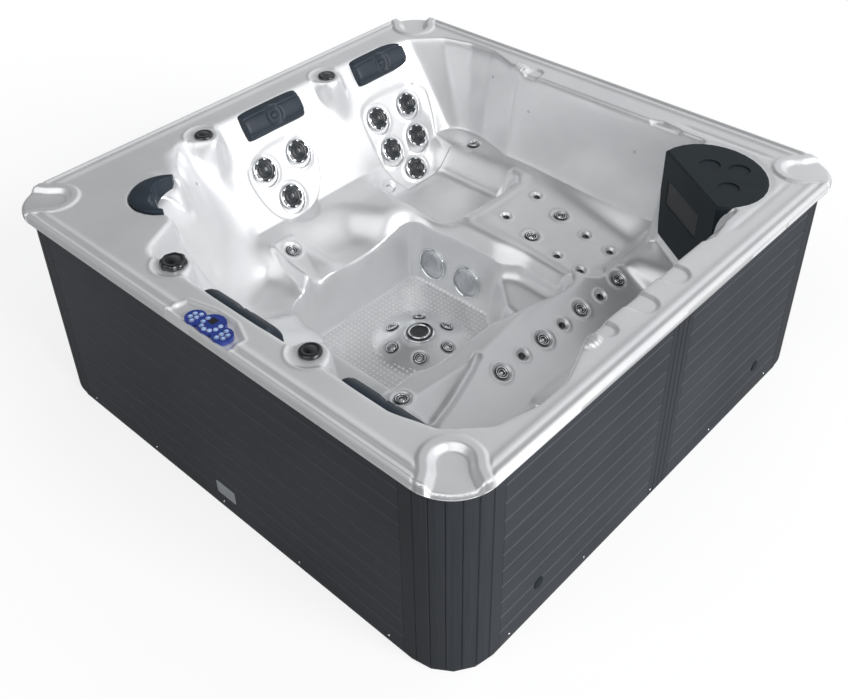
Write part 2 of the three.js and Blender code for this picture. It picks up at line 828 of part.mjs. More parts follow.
function acrylicShell() {
  const rim = loft(
    [...ridgeShares, [1, 1 - deckDrop / lipHeight]].map(([inwards, upwards]) =>
      ring(rounded(grow(lipOutline, -inwards * ridgeWidth), lipSteps), lipBottom + upwards * lipHeight),
    ),
  );
  const underside = prism(rounded(grow(lipOutline, -sheet), lipSteps), lipBottom - overrun, deckTop - sheet);
  const plinthFoot = shoulderLevel - sheet - overrun;
  const plinth = (skin) => consolePrism(seatGap - skin, plinthFoot - skin, consoleLevel - skin);
  const forms = (skin) => [plinth(skin), ...platforms(skin), dome(skin)];
  const skins = cut(join([basin(sheet), ...lowerHollows(sheet)]), forms(sheet));
  const hollows = cut(join([basin(0), ...lowerHollows(0)]), forms(0));
  const lipRoom = prism(rounded(grow(lipOutline, -sheet / 2), lipSteps), lipBottom, deckTop);
  const outside = join([
    rim.subtract(underside),
    skins,
    consolePrism(seatGap + sheet, consoleLevel - sheet, deckTop - sheet / 2),
    ...scoops(sheet).map((scoop) => scoop.intersect(lipRoom)),
    ...knobBosses(),
    ...suctionBosses(),
    ...jetBosses(largeJet, largeJetSeats),
    ...jetBosses(smallJet, smallJetSeats),
  ]);
  const shell = cut(outside, [
    hollows,
    consolePrism(seatGap, consoleLevel, rimTop + overrun),
    panelBlock(0, panelFloor, rimTop + overrun),
    ...scoops(0),
    ...knobCuts(),
    ...suctionCuts(),
    ...jetCuts(largeJet, largeJetSeats),
    ...jetCuts(smallJet, smallJetSeats),
  ]);
  return join([shell, ...floorJetCollars()]);
}

// Jets, knobs and covers

// A jet in its own frame, with the sheet's face at zero: bezel, petals, nozzle and its stem, if it has one.
function jetFace(size, gap) {
  const low = gap - size.sink;
  const face = turned(
    [
      [0, low],
      [size.face, low],
      [size.face, 0],
      [size.face * (1 - bezelShare), size.rise],
      [0, size.rise],
    ],
    size.sides,
  );
  const petals = lobed(size.face * dishShare, size.face * petalShare, size.petals, petalSteps);
  const nozzle = disc(size.face * nozzleShare, low / 2, size.rise / 2, smallSides);
  const jet = face.subtract(prism(petals, 0, size.rise + overrun)).add(nozzle);
  return size.stem ? jet.add(disc(size.stem, low - size.depth, low / 2, smallSides)) : jet;
}

// A rim knob in its own frame, standing on its platform: lobed or plain, with its stem.
function knob(radius, height, lobes) {
  const depth = lobes ? lobeDepth : 0;
  const sections = [
    [runGap, 0],
    [height - knobBevel, 0],
    [height - knobBevel / 3, knobBevel / 2],
    [height, knobBevel],
  ];
  const rings = sections.map(([level, inset]) =>
    ring(lobed(radius - depth - inset, depth, lobes || smallSides, lobes ? petalSteps : 2), level),
  );
  return loft(rings).add(disc(stemRadius, runGap - stemLength, height / 2, smallSides));
}

// Blind radial slots above a level.
function slots(count, centre, low, high) {
  const start = centre - slotLength / 2;
  const slot = block(start, start + slotLength, -slotWidth / 2, slotWidth / 2, low, high);
  return Array.from({ length: count }, (_, i) => spun(slot, (i * 2 * Math.PI) / count));
}

// A domed grille on a spigot, in its own frame on the wall.
function suctionCover() {
  const edge = suctionThickness / 3;
  const cover = turned([
    [0, seatGap - spigotLength],
    [spigotRadius, seatGap - spigotLength],
    [spigotRadius, seatGap],
    [suctionRadius, seatGap],
    [suctionRadius, edge],
    [suctionRadius - edge, suctionThickness - edge],
    [suctionRadius / 2, suctionThickness],
    [0, suctionThickness],
  ]);
  const centre = (suctionRadius + spigotRadius) / 2;
  return cut(cover, slots(suctionSlots, centre, edge, suctionThickness + overrun));
}

function drainCover() {
  const cover = turned([
    [0, seatGap],
    [drainRadius, seatGap],
    [drainRadius, drainThickness / 3],
    [drainRadius * (1 - bezelShare), drainThickness],
    [0, drainThickness],
  ]);
  return cut(cover, slots(drainSlots, drainRadius / 2, drainThickness / 2, drainThickness + overrun));
}

// Pillows

// A pillow in its own frame: X along the wall, Y up its slope, Z out of it.
function pillowBlock() {
  const steps = roundSides;
  const outline = (share) =>
    Array.from({ length: steps }, (_, k) => {
      const [c, s] = [Math.cos((k / steps) * 2 * Math.PI), Math.sin((k / steps) * 2 * Math.PI)];
      const reach = share * (Math.abs(c) ** pillowPower + Math.abs(s) ** pillowPower) ** (-1 / pillowPower);
      return new THREE.Vector2((reach * c * pillowLength) / 2, (reach * s * pillowWidth) / 2);
    });
  const rings = pillowCrownShares.map(([height, share]) => ring(outline(share), height * pillowThickness));
  return loft([ring(outline(pillowCrownShares[0][1]), -pillowSink), ...rings]);
}

// A pillow on the back wall, cut to lie against it.
function wallPillow(share) {
  const slope = new THREE.Vector3(-backNormal.z, 0, backNormal.x);
  const centre = onBackWall(share * half, deckTop - pillowTopDrop - (pillowWidth / 2) * slope.z).place;
  const frame = new THREE.Matrix4().makeBasis(acrossY, slope, backNormal).setPosition(centre);
  return moved(pillowBlock(), frame).intersect(basin(-pillowGap));
}

// The pillow that wraps the corner seat's corner and lies over the deck's edge.
function cornerPillow() {
  const low = deckTop - cornerPillowDrop;
  const height = cornerPillowDrop + cornerPillowRise;
  const rings = cornerPillowCrownShares.map(([upwards, inwards]) => {
    const outline = grow(scaled(cornerPillowShares), -inwards * cornerPillowRise);
    return ring(rounded(outline, lipSteps), low + upwards * height);
  });
  const room = basin(-pillowGap).add(block(-half, 0, -half, 0, deckTop + pillowGap, rimTop + height));
  return loft(rings).intersect(room);
}

// Control panel

// Keys on both end lobes and on an arc round the display. Those at the arc's end travel.
function keyPlaces() {
  const arc = Array.from({ length: arcKeys }, (_, i) => {
    const angle = THREE.MathUtils.degToRad(keyStart + i * keyStep);
    return [panelX + keyCircle * Math.cos(angle), panelY + keyCircle * Math.sin(angle)];
  });
  const lobes = [-1, 1].flatMap((end) => {
    const x = panelX + end * (panelLobeSpacing - lobeKeyPitch / 4);
    const column = [-1, 0, 1].map((k) => [x, lobeY + k * lobeKeyPitch]);
    const outer = [-1, 1].map((k) => [x + end * lobeKeyPitch, lobeY + (k * lobeKeyPitch) / 2]);
    return [...column, ...outer];
  });
  return { fixed: [...lobes, ...arc.slice(0, -movingKeys)], moving: arc.slice(-movingKeys) };
}

// A key in its own frame with the panel's top at zero.
function key() {
  return disc(keyRadius, -keyDepth, keyRise, smallSides);
}

function displayBlock(margin, low, high) {
  const [x, y] = [panelX - displayShift, panelY + displayLift];
  const [length, width] = [displayLength / 2 + margin, displayWidth / 2 + margin];
  return block(x - length, x + length, y - width, y + width, low, high);
}

function controlPanel() {
  const { fixed, moving } = keyPlaces();
  const well = disc(keyRadius + runGap, -keyDepth - keyTravel - runGap, overrun, smallSides);
  const body = cut(panelBlock(-seatGap, panelFloor + seatGap, panelTop), [
    ...moving.map(([x, y]) => slid(well, x, y, panelTop)),
    displayBlock(seatGap, panelTop - displayDepth, panelTop + overrun),
  ]);
  return join([body, ...fixed.map(([x, y]) => slid(key(), x, y, panelTop))]);
}

// Screen console

const consoleTop = deckTop - consoleTopDrop;
const consoleFoot = consoleLevel + seatGap;

function screenBlock(margin, front, back) {
  const high = consoleTop - screenDrop + margin;
  const low = consoleTop - screenDrop - screenHeight - margin;
  const width = screenWidth / 2 + margin;
  return block(-screenShift - width, -screenShift + width, front, back, low, high);
}

function consoleHousing() {
  const housing = loft([
    ring(consoleOutline(-consoleBevel / 2), consoleFoot),
    ring(consoleOutline(0), consoleFoot + consoleBevel),
    ring(consoleOutline(0), consoleTop - consoleBevel),
    ring(consoleOutline(-consoleBevel / 4), consoleTop - consoleBevel / 4),
    ring(consoleOutline(-consoleBevel), consoleTop),
  ]);
  const inside = prism(
    consoleOutline(-screenSink - consoleWall),
    consoleFoot - overrun,
    consoleTop - cupDepth - consoleWall,
  );
  const cup = disc(cupRadius, consoleTop - cupDepth, consoleTop + overrun);
  const cups = cupShares.map(([along, back]) => slid(cup, along * consoleHalfWidth, back * consoleBulge));
  return moved(cut(housing, [inside, ...cups, screenBlock(0, -overrun, screenSink)]), consolePlace);
}

function screen() {
  const back = screenSink - seatGap;
  return moved(screenBlock(-seatGap, back - screenThickness, back), consolePlace);
}

// Skirt

// Stations across a panel's face with a groove between each two planks: distance along, and depth.
function grooved(length, count) {
  const pitch = length / count;
  const inner = Array.from({ length: count - 1 }, (_, i) => [
    [(i + 1) * pitch - grooveWidth / 2, 0],
    [(i + 1) * pitch, grooveDepth],
    [(i + 1) * pitch + grooveWidth / 2, 0],
  ]);
  return [[0, 0], ...inner.flat(), [length, 0]];
}

// A side panel of planks between two places on the +X side, turned to its own side.
function sidePanel(from, to, quarters) {
  const height = skirtTop - frameFoot;
  const face = grooved(height, plankCount).map(([rise, depth]) => new THREE.Vector2(-depth, rise));
  const back = [new THREE.Vector2(-skirtThickness, height), new THREE.Vector2(-skirtThickness, 0)];
  const frame = new THREE.Matrix4().makeBasis(acrossX, up, acrossY.clone().negate());
  const panel = moved(prism([...face, ...back], 0, to - from), frame.setPosition(skirtFace, to, frameFoot));
  return spun(panel, (quarters * Math.PI) / 2);
}

// The upright strip between the two panels of the +X side.
function joiningStrip(centre) {
  const face = grooved(stripWidth, stripStaves).map(([across, depth]) => [skirtFace - depth, across]);
  const back = skirtFace - skirtThickness;
  const points = [...face, [back, stripWidth], [back, 0]].map(([x, y]) => new THREE.Vector2(x, y));
  return slid(prism(points, frameFoot, skirtTop), 0, centre - stripWidth / 2);
}

const cornerStraight = cornerReach - skirtRadius;
const cornerBend = (Math.PI / 2) * skirtRadius;

// A point on the skirt's +X +Y corner: distance along its face from the panel's end, depth behind it.
function onCorner(distance, depth) {
  const centre = skirtFace - skirtRadius;
  const reach = skirtRadius - depth;
  if (distance < cornerStraight) return new THREE.Vector2(centre + reach, panelEnd + distance);
  const rest = 2 * cornerStraight + cornerBend - distance;
  if (rest < cornerStraight) return new THREE.Vector2(panelEnd + rest, centre + reach);
  const angle = (distance - cornerStraight) / skirtRadius;
  return new THREE.Vector2(centre + reach * Math.cos(angle), centre + reach * Math.sin(angle));
}

function cornerPanel(quarters) {
  const length = 2 * cornerStraight + cornerBend;
  const middles = Array.from({ length: staveCount }, (_, i) => [((i + 1 / 2) * length) / staveCount, 0]);
  const outer = [...grooved(length, staveCount), ...middles].sort((a, b) => a[0] - b[0]);
  const inner = Array.from({ length: staveCount * 2 + 1 }, (_, i) => (i * length) / (staveCount * 2));
  const points = [
    ...outer.map(([distance, depth]) => onCorner(distance, depth)),
    ...inner.reverse().map((distance) => onCorner(distance, skirtThickness)),
  ];
  return spun(prism(points, frameFoot, skirtTop), (quarters * Math.PI) / 2);
}

// A plug in its own frame on the skirt's face: head outside, shank through the panel.
function ventPlug() {
  return turned(
    [
      [0, -skirtThickness],
      [plugShankRadius, -skirtThickness],
      [plugShankRadius, seatGap],
      [plugHeadRadius, seatGap],
      [plugHeadRadius, plugHeadThickness / 2],
      [plugHeadRadius - plugHeadThickness, plugHeadThickness],
      [0, plugHeadThickness],
    ],
  );
}

const plugSeats = plugShares.map((share) => ({
  place: new THREE.Vector3(skirtFace, share * half, plugLevel),
  normal: acrossX,
}));

function plugHole(seat) {
  return moved(disc(plugShankRadius + seatGap, -skirtThickness - overrun, overrun), standing(seat));
}

// Base tray and frame

function baseTray() {
  const slab = prism(rounded(trayOutline, lipSteps), 0, trayThickness);
  const floor = rounded(grow(trayOutline, -trayKerb), lipSteps);
  return slab.subtract(prism(floor, trayFloor, trayThickness + overrun));
}

function supportFrame() {
  const outer = rounded(frameOutline);
  const inner = rounded(grow(frameOutline, -beam));
  const rail = (low, high) => prism(outer, low, high).subtract(prism(inner, low - overrun, high + overrun));
  const post = (y) => block(frameFace - beam, frameFace, y - beam / 2, y + beam / 2, frameFoot, frameTop);
  const high = frameFace - skirtRadius * (1 - Math.SQRT1_2) - beam / 4;
  const cornerPost = block(high - beam, high, high - beam, high, frameFoot, frameTop);
  const pitch = (2 * frameFace) / (sidePosts + 1);
  const sidePost = Array.from({ length: sidePosts }, (_, i) => post((i + 1) * pitch - frameFace));
  const posts = [0, 1, 2, 3].flatMap((quarters) =>
    [cornerPost, ...sidePost].map((made) => spun(made, (quarters * Math.PI) / 2)),
  );
  const joists = Array.from({ length: joistCount }, (_, i) => {
    const share = (i + 1 / 2) / joistCount;
    const y = THREE.MathUtils.lerp(pitFloorShares[0][1], pitFloorShares[5][1], share) * half;
    const reach = frameFace - beam / 2;
    return block(-reach, reach, y - beam / 2, y + beam / 2, frameFoot, floorLevel - sheet - seatGap);
  });
  const rails = [rail(frameFoot, frameFoot + railHeight), rail(frameTop - railHeight, frameTop)];
  return cut(join([...rails, ...posts, ...joists]), scoops(sheet + seatGap));
}

// Inner works

// A pump in its own frame: shaft along X, motor first, standing on its foot.
const shaftLevel = worksLevel + footHeight + headRadius;
const motorStart = -(motorLength + headLength + portLength) / 2;
const outletX = motorStart + motorLength + headLength / 2;
const outletLevel = shaftLevel + headRadius + portLength;

function alongX(made) {
  return moved(made, standing({ place: new THREE.Vector3(), normal: acrossX }));
}

function pump() {
  const motorEnd = motorStart + motorLength;
  const headEnd = motorEnd + headLength;
  const fins = lobed(motorRadius - finDepth, finDepth, motorFins, petalSteps);
  const motor = prism(fins, motorStart, motorEnd + overrun);
  const head = turned([
    [0, motorEnd],
    [motorRadius, motorEnd],
    [headRadius, motorEnd + headLength / 4],
    [headRadius, headEnd - headLength / 4],
    [portRadius * 2, headEnd],
    [portRadius, headEnd],
    [portRadius, headEnd + portLength],
    [0, headEnd + portLength],
  ]);
  const shaft = slid(alongX(motor.add(head)), 0, 0, shaftLevel);
  const outlet = slid(disc(portRadius, shaftLevel, outletLevel, smallSides), outletX, 0);
  const footStart = motorStart + footInset;
  const foot = block(footStart, headEnd, -footWidth / 2, footWidth / 2, worksLevel, worksLevel + footHeight);
  const saddle = block(footStart + footInset, motorEnd, -footWidth / 4, footWidth / 4, worksLevel, shaftLevel);
  return join([shaft, outlet, foot, saddle]);
}

function airBlower() {
  const top = worksLevel + blowerHeight;
  return turned([
    [0, worksLevel],
    [blowerRadius, worksLevel],
    [blowerRadius, worksLevel + footHeight / 2],
    [blowerRadius - footHeight, worksLevel + footHeight],
    [blowerRadius - footHeight, top - footHeight],
    [portRadius + footHeight, top],
    [portRadius, top],
    [portRadius, top + portLength],
    [0, top + portLength],
  ]);
}

// The control pack on its heater tube, in its own frame.
const heaterLevel = worksLevel + footHeight + heaterRadius;
const heaterReach = packLength / 2 + heaterOverhang;

// The pack stands beside the tray's kerb with the pumps in a row behind it, joined by the pipe.
const packY = worksGap + packWidth / 2 + trayKerb - trayFace;
const pumpY = packY + packWidth / 2 + worksGap + headRadius;
const pipeX = pumpShares[0] * half + outletX;
const packX = pipeX + pipeLead + seatGap + heaterReach;

function controlPack() {
  const low = heaterLevel + heaterRadius / 2;
  const high = low + packHeight;
  const [length, width] = [packLength / 2, packWidth / 2];
  const plan = boxOutline(-length, length, -width, width, packChamfer);
  const box = loft([
    ring(rounded(plan), low),
    ring(rounded(plan), high - packChamfer),
    ring(rounded(grow(plan, -packChamfer / 2)), high),
  ]);
  const heater = slid(alongX(disc(heaterRadius, -heaterReach, heaterReach, smallSides)), 0, 0, heaterLevel);
  const feet = [-1, 1].map((end) => {
    const x = (end * packLength) / 3;
    return block(x - footHeight, x + footHeight, -width, width, worksLevel, heaterLevel);
  });
  return join([box, heater, ...feet]);
}

// The pipe from the first pump's outlet to the heater.
function supplyPipe() {
  const high = outletLevel + pipeRise;
  const corners = [
    [pipeX, pumpY, outletLevel + seatGap],
    [pipeX, pumpY, high],
    [pipeX, packY, high],
    [pipeX, packY, heaterLevel],
    [pipeX + pipeLead, packY, heaterLevel],
  ].map((corner) => new THREE.Vector3(...corner));
  const path = new THREE.CurvePath();
  let from = corners[0];
  corners.slice(1, -1).forEach((corner, i) => {
    const [before, after] = [corners[i], corners[i + 2]];
    const reach = Math.min(pipeBend, corner.distanceTo(after) / 2, corner.distanceTo(before) / 2);
    const enter = before.clone().sub(corner).setLength(reach).add(corner);
    const leave = after.clone().sub(corner).setLength(reach).add(corner);
    path.add(new THREE.LineCurve3(from, enter));
    path.add(new THREE.QuadraticBezierCurve3(enter, corner, leave));
    from = leave;
  });
  path.add(new THREE.LineCurve3(from, corners.at(-1)));
  const section = new THREE.Shape(lobed(portRadius, 0, smallSides, 1));
  const settings = { steps: roundSides, extrudePath: path, bevelEnabled: false };
  return solid(new THREE.ExtrudeGeometry(section, settings));
}

// Assembly

const finishes = {
  acrylic: { color: 0xd3d5d8, roughness: 0.18, metalness: 0 },
  charcoal: { color: 0x2d3234, roughness: 0.7, metalness: 0 },
  slate: { color: 0x5f646e, roughness: 0.65, metalness: 0 },
  pillow: { color: 0x3c4655, roughness: 0.55, metalness: 0 },
  console: { color: 0x28343c, roughness: 0.4, metalness: 0 },
  glass: { color: 0x0b0e12, roughness: 0.08, metalness: 0 },
  chrome: { color: 0xc9ccd0, roughness: 0.12, metalness: 1 },
  black: { color: 0x101214, roughness: 0.15, metalness: 0 },
  panel: { color: 0x17348c, roughness: 0.35, metalness: 0 },
  keys: { color: 0xa9c6ee, roughness: 0.4, metalness: 0 },
  grey: { color: 0x8d9196, roughness: 0.5, metalness: 0 },
  timber: { color: 0xb08d62, roughness: 0.7, metalness: 0 },
  works: { color: 0x3a3f45, roughness: 0.5, metalness: 0 },
  pipe: { color: 0xe4e6e6, roughness: 0.45, metalness: 0 },
};

const tub = new THREE.Group();

// Adds one named piece to the tub.
function piece(name, finish, made) {
  const { vertProperties, triVerts } = made.getMesh();
  const geometry = new THREE.BufferGeometry()
    .setAttribute("position", new THREE.BufferAttribute(vertProperties, 3))
    .setIndex(new THREE.BufferAttribute(triVerts, 1));
  const material = new THREE.MeshStandardMaterial({ ...finishes[finish], flatShading: true });
  const mesh = new THREE.Mesh(geometry, material);
  mesh.name = name;
  tub.add(mesh);
}

function addSkirt() {
  const strip = stripCentreShare * half;
  const low = strip - stripWidth / 2 - panelPlay;
  const high = strip + stripWidth / 2 + panelPlay;
  const end = panelEnd - panelPlay;
  piece("right_panel_near", "slate", sidePanel(-end, low, 0).subtract(plugHole(plugSeats[0])));
  piece("right_panel_far", "slate", sidePanel(high, end, 0).subtract(plugHole(plugSeats[1])));
  piece("right_joining_strip", "slate", joiningStrip(strip));
  piece("back_panel", "slate", sidePanel(-end, end, 1));
  piece("left_panel", "charcoal", sidePanel(-end, end, 2));
  piece("front_panel", "charcoal", sidePanel(-end, end, 3));
  ["back_right", "back_left", "front_left", "front_right"].forEach((corner, quarters) => {
    piece(`corner_panel_${corner}`, "charcoal", cornerPanel(quarters));
  });
  plugSeats.forEach((seat, i) => piece(`vent_plug_${i + 1}`, "black", moved(ventPlug(), standing(seat))));
}

function addPillows() {
  const seat = wallPillow(seatPillowShare);
  const lounger = wallPillow(loungerPillowShare);
  piece("left_seat_pillow", "pillow", seat);
  piece("lounger_pillow", "pillow", lounger);
  piece("front_seat_pillow", "pillow", moved(seat, diagonalMirror));
  piece("bench_pillow", "pillow", moved(lounger, diagonalMirror));
  piece("corner_pillow", "pillow", cornerPillow());
}

function addRimFittings() {
  const knobs = [
    ["air_knob_1", knob(airRadius, airHeight, 0)],
    ["air_knob_2", knob(airRadius, airHeight, 0)],
    ["diverter_knob_1", knob(diverterRadius, diverterHeight, diverterLobes)],
    ["diverter_knob_2", knob(plainDiverterRadius, plainDiverterHeight, 0)],
  ];
  knobs.forEach(([name, made], i) => piece(name, "black", slid(made, ...knobSeats[i], platformTop)));
  piece("control_panel", "panel", controlPanel());
  piece("display_window", "glass", displayBlock(0, panelTop - displayDepth + seatGap, panelTop));
  keyPlaces().moving.forEach(([x, y], i) => piece(`key_${i + 1}`, "keys", slid(key(), x, y, panelTop)));
  piece("console_housing", "console", consoleHousing());
  piece("screen", "glass", screen());
}

function addJets() {
  const large = jetFace(largeJet, runGap);
  const small = jetFace(smallJet, seatGap);
  largeJetSeats.forEach((seat, i) => piece(`large_jet_${i + 1}`, "chrome", moved(large, standing(seat))));
  smallJetSeats.forEach((seat, i) => piece(`small_jet_${i + 1}`, "chrome", moved(small, standing(seat))));
  const suction = suctionCover();
  suctionSeats.forEach((seat, i) => piece(`suction_cover_${i + 1}`, "grey", moved(suction, standing(seat))));
  const [x, y] = domeCentreShares.map((share) => share * half);
  piece("drain_cover", "grey", slid(drainCover(), x, y, floorLevel + domeHeight));
}

function addInnerWorks() {
  pumpShares.forEach((share, i) => piece(`pump_${i + 1}`, "works", slid(pump(), share * half, pumpY)));
  piece("air_blower", "works", slid(airBlower(), blowerShares[0] * half, blowerShares[1] * half));
  piece("control_pack", "works", slid(controlPack(), packX, packY));
  piece("supply_pipe", "pipe", supplyPipe());
}

piece("acrylic_shell", "acrylic", acrylicShell());
piece("base_tray", "works", baseTray());
piece("support_frame", "timber", supportFrame());
addSkirt();
addPillows();
addRimFittings();
addJets();
addInnerWorks();

export default tub;
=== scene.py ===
"""Acrylic hot tub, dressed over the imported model. Metres, +Z up, the control panel on the -Y side."""
import math

import bmesh
import bpy
import numpy as np
from mathutils import Matrix, Vector
from mathutils.bvhtree import BVHTree


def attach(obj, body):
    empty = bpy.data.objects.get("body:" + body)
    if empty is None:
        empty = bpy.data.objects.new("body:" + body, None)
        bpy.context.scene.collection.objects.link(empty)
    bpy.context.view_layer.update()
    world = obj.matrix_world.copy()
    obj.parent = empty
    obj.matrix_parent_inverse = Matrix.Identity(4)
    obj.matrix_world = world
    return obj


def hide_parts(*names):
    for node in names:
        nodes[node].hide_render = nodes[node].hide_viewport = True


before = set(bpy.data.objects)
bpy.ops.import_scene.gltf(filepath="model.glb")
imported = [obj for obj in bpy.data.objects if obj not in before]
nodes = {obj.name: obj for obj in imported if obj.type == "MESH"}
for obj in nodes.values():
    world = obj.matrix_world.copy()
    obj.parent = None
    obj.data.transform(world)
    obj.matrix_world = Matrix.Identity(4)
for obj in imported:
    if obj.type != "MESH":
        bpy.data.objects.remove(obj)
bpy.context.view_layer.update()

HALF = 1.1  # lip's outer face from the middle
DECK = 0.862
LIP_BOTTOM = 0.829
LIP_RADIUS = 0.170  # in plan
PLATFORM = 0.856  # the knobs' seats
FLOOR = 0.110  # footwell
DOME_RISE = 0.040
NEST = -0.683  # the corner pillow's middle, in X and in Y
SKIRT_FACE = 1.078
PLANK_PITCH = 0.07506
PLANK_START = 0.0123
DOTS_PER_METRE = 48.0
# Cell of the grid that holds the shell's heights
CELL = 0.004


# Materials

def material(name):
    """A new node material with its Principled shader and object coordinates."""
    made = bpy.data.materials.new(name)
    made.use_nodes = True
    tree = made.node_tree
    shader = tree.nodes["Principled BSDF"]
    place = tree.nodes.new("ShaderNodeTexCoord").outputs["Object"]
    return made, tree, shader, place


def stretched(tree, place, scale):
    mapping = tree.nodes.new("ShaderNodeMapping")
    mapping.inputs["Scale"].default_value = scale
    tree.links.new(place, mapping.inputs["Vector"])
    return mapping.outputs["Vector"]


def noise(tree, place, scale, detail=3.0, roughness=0.5):
    made = tree.nodes.new("ShaderNodeTexNoise")
    made.inputs["Scale"].default_value = scale
    made.inputs["Detail"].default_value = detail
    made.inputs["Roughness"].default_value = roughness
    tree.links.new(place, made.inputs["Vector"])
    return made.outputs["Fac"]


def ramp(tree, value, low, high, start, end):
    """Maps a value between two levels onto a colour between start and end."""
    made = tree.nodes.new("ShaderNodeValToRGB")
    made.color_ramp.elements[0].position = low
    made.color_ramp.elements[0].color = (*start, 1)
    made.color_ramp.elements[1].position = high
    made.color_ramp.elements[1].color = (*end, 1)
    tree.links.new(value, made.inputs["Fac"])
    return made.outputs["Color"]


def spread(tree, value, low, high):
    made = tree.nodes.new("ShaderNodeMapRange")
    made.inputs["To Min"].default_value = low
    made.inputs["To Max"].default_value = high
    tree.links.new(value, made.inputs["Value"])
    return made.outputs["Result"]


def math_node(tree, operation, first, second):
    made = tree.nodes.new("ShaderNodeMath")
    made.operation = operation
    for socket, value in zip(made.inputs, (first, second)):
        if isinstance(value, (int, float)):
            socket.default_value = value
        else:
            tree.links.new(value, socket)
    return made.outputs["Value"]


def eased_range(tree, value, start, end, low, high):
    """A smooth step from one level to another as a value goes from start to end."""
    made = tree.nodes.new("ShaderNodeMapRange")
    made.interpolation_type = "SMOOTHSTEP"
    for socket, level in (("From Min", start), ("From Max", end), ("To Min", low), ("To Max", high)):
        made.inputs[socket].default_value = level
    tree.links.new(value, made.inputs["Value"])
    return made.outputs["Result"]


def split_xyz(tree, vector):
    made = tree.nodes.new("ShaderNodeSeparateXYZ")
    tree.links.new(vector, made.inputs["Vector"])
    return made.outputs


def bump(tree, shader, height, strength, distance):
    made = tree.nodes.new("ShaderNodeBump")
    made.inputs["Strength"].default_value = strength
    made.inputs["Distance"].default_value = distance
    tree.links.new(height, made.inputs["Height"])
    tree.links.new(made.outputs["Normal"], shader.inputs["Normal"])


def acrylic():
    """Pearl silver acrylic: faint clouds, fine flake, and raised dots on the footwell's floor whose white
    colour is a painted highlight.
    """
    made, tree, shader, place = material("pearl_acrylic")
    clouds = noise(tree, place, 3.0, 5.0, 0.62)
    flake = noise(tree, place, 900.0, 1.0)
    large, small = math_node(tree, "MULTIPLY", clouds, 0.8), math_node(tree, "MULTIPLY", flake, 0.2)
    mix = math_node(tree, "ADD", large, small)
    pearl = ramp(tree, mix, 0.35, 0.65, (0.770, 0.778, 0.790), (0.850, 0.852, 0.860))
    tree.links.new(spread(tree, clouds, 0.31, 0.40), shader.inputs["Roughness"])
    shader.inputs["Coat Weight"].default_value = 0.6
    shader.inputs["Coat Roughness"].default_value = 0.07
    cells = tree.nodes.new("ShaderNodeTexVoronoi")
    cells.voronoi_dimensions = "2D"
    cells.inputs["Scale"].default_value = DOTS_PER_METRE
    cells.inputs["Randomness"].default_value = 0.12
    tree.links.new(place, cells.inputs["Vector"])
    dots = eased_range(tree, cells.outputs["Distance"], 0.12, 0.36, 1.0, 0.0)
    on_floor = math_node(tree, "LESS_THAN", split_xyz(tree, place)["Z"], FLOOR + 0.008)
    raised = math_node(tree, "MULTIPLY", dots, on_floor)
    # Painted highlight: the raised dots are mixed towards white, for the light their bumps catch.
    painted_dot_highlight = tree.nodes.new("ShaderNodeMix")
    painted_dot_highlight.data_type = "RGBA"
    tree.links.new(raised, painted_dot_highlight.inputs["Factor"])
    tree.links.new(pearl, painted_dot_highlight.inputs[6])
    painted_dot_highlight.inputs[7].default_value = (1.0, 1.0, 1.0, 1)
    tree.links.new(painted_dot_highlight.outputs[2], shader.inputs["Base Color"])
    sheen = math_node(tree, "SUBTRACT", 0.55, math_node(tree, "MULTIPLY", raised, 0.50))
    tree.links.new(sheen, shader.inputs["Metallic"])
    bump(tree, shader, raised, 0.6, 0.003)
    return made


def plank(name, dark, light, grain_scale, pitch=0.0):
    """Foamed plank: long grain, slight bloom, a fine tooth, and painted highlights on the arrises where
    planks meet.
    """
    made, tree, shader, place = material(name)
    grain = noise(tree, stretched(tree, place, grain_scale), 1.0, 6.0, 0.6)
    bloom = noise(tree, place, 1.6, 3.0)
    fine, broad = math_node(tree, "MULTIPLY", grain, 0.5), math_node(tree, "MULTIPLY", bloom, 0.5)
    mix = math_node(tree, "ADD", fine, broad)
    if pitch:
        height = math_node(tree, "SUBTRACT", split_xyz(tree, place)["Z"], PLANK_START - pitch / 2)
        within = math_node(tree, "FRACT", math_node(tree, "DIVIDE", height, pitch), 0)
        off = math_node(tree, "ABSOLUTE", math_node(tree, "SUBTRACT", within, 0.5), 0)
        # Painted highlight: a pale line along each plank joint, for the light its arris catches.
        edge = math_node(tree, "LESS_THAN", off, 0.045)
        mix = math_node(tree, "ADD", mix, math_node(tree, "MULTIPLY", edge, 0.35))
    tone = ramp(tree, mix, 0.35, 0.85 if pitch else 0.65, dark, light)
    tree.links.new(tone, shader.inputs["Base Color"])
    tree.links.new(spread(tree, grain, 0.42, 0.58), shader.inputs["Roughness"])
    shader.inputs["Specular IOR Level"].default_value = 0.3
    bump(tree, shader, grain, 0.25, 0.0006)
    return made


def moulded(name, dark, light, roughness, tooth=0.0004, coat=0.0, specular=0.5):
    """Moulded plastic or foam skin with a fine tooth and a slight change of tone."""
    made, tree, shader, place = material(name)
    tone = noise(tree, place, 14.0, 4.0)
    grain = noise(tree, place, 260.0, 2.0)
    tree.links.new(ramp(tree, tone, 0.3, 0.7, dark, light), shader.inputs["Base Color"])
    tree.links.new(spread(tree, tone, roughness * 0.85, roughness * 1.15), shader.inputs["Roughness"])
    shader.inputs["Coat Weight"].default_value = coat
    shader.inputs["Coat Roughness"].default_value = 0.05
    shader.inputs["Specular IOR Level"].default_value = specular
    bump(tree, shader, grain, 0.3, tooth)
    return made


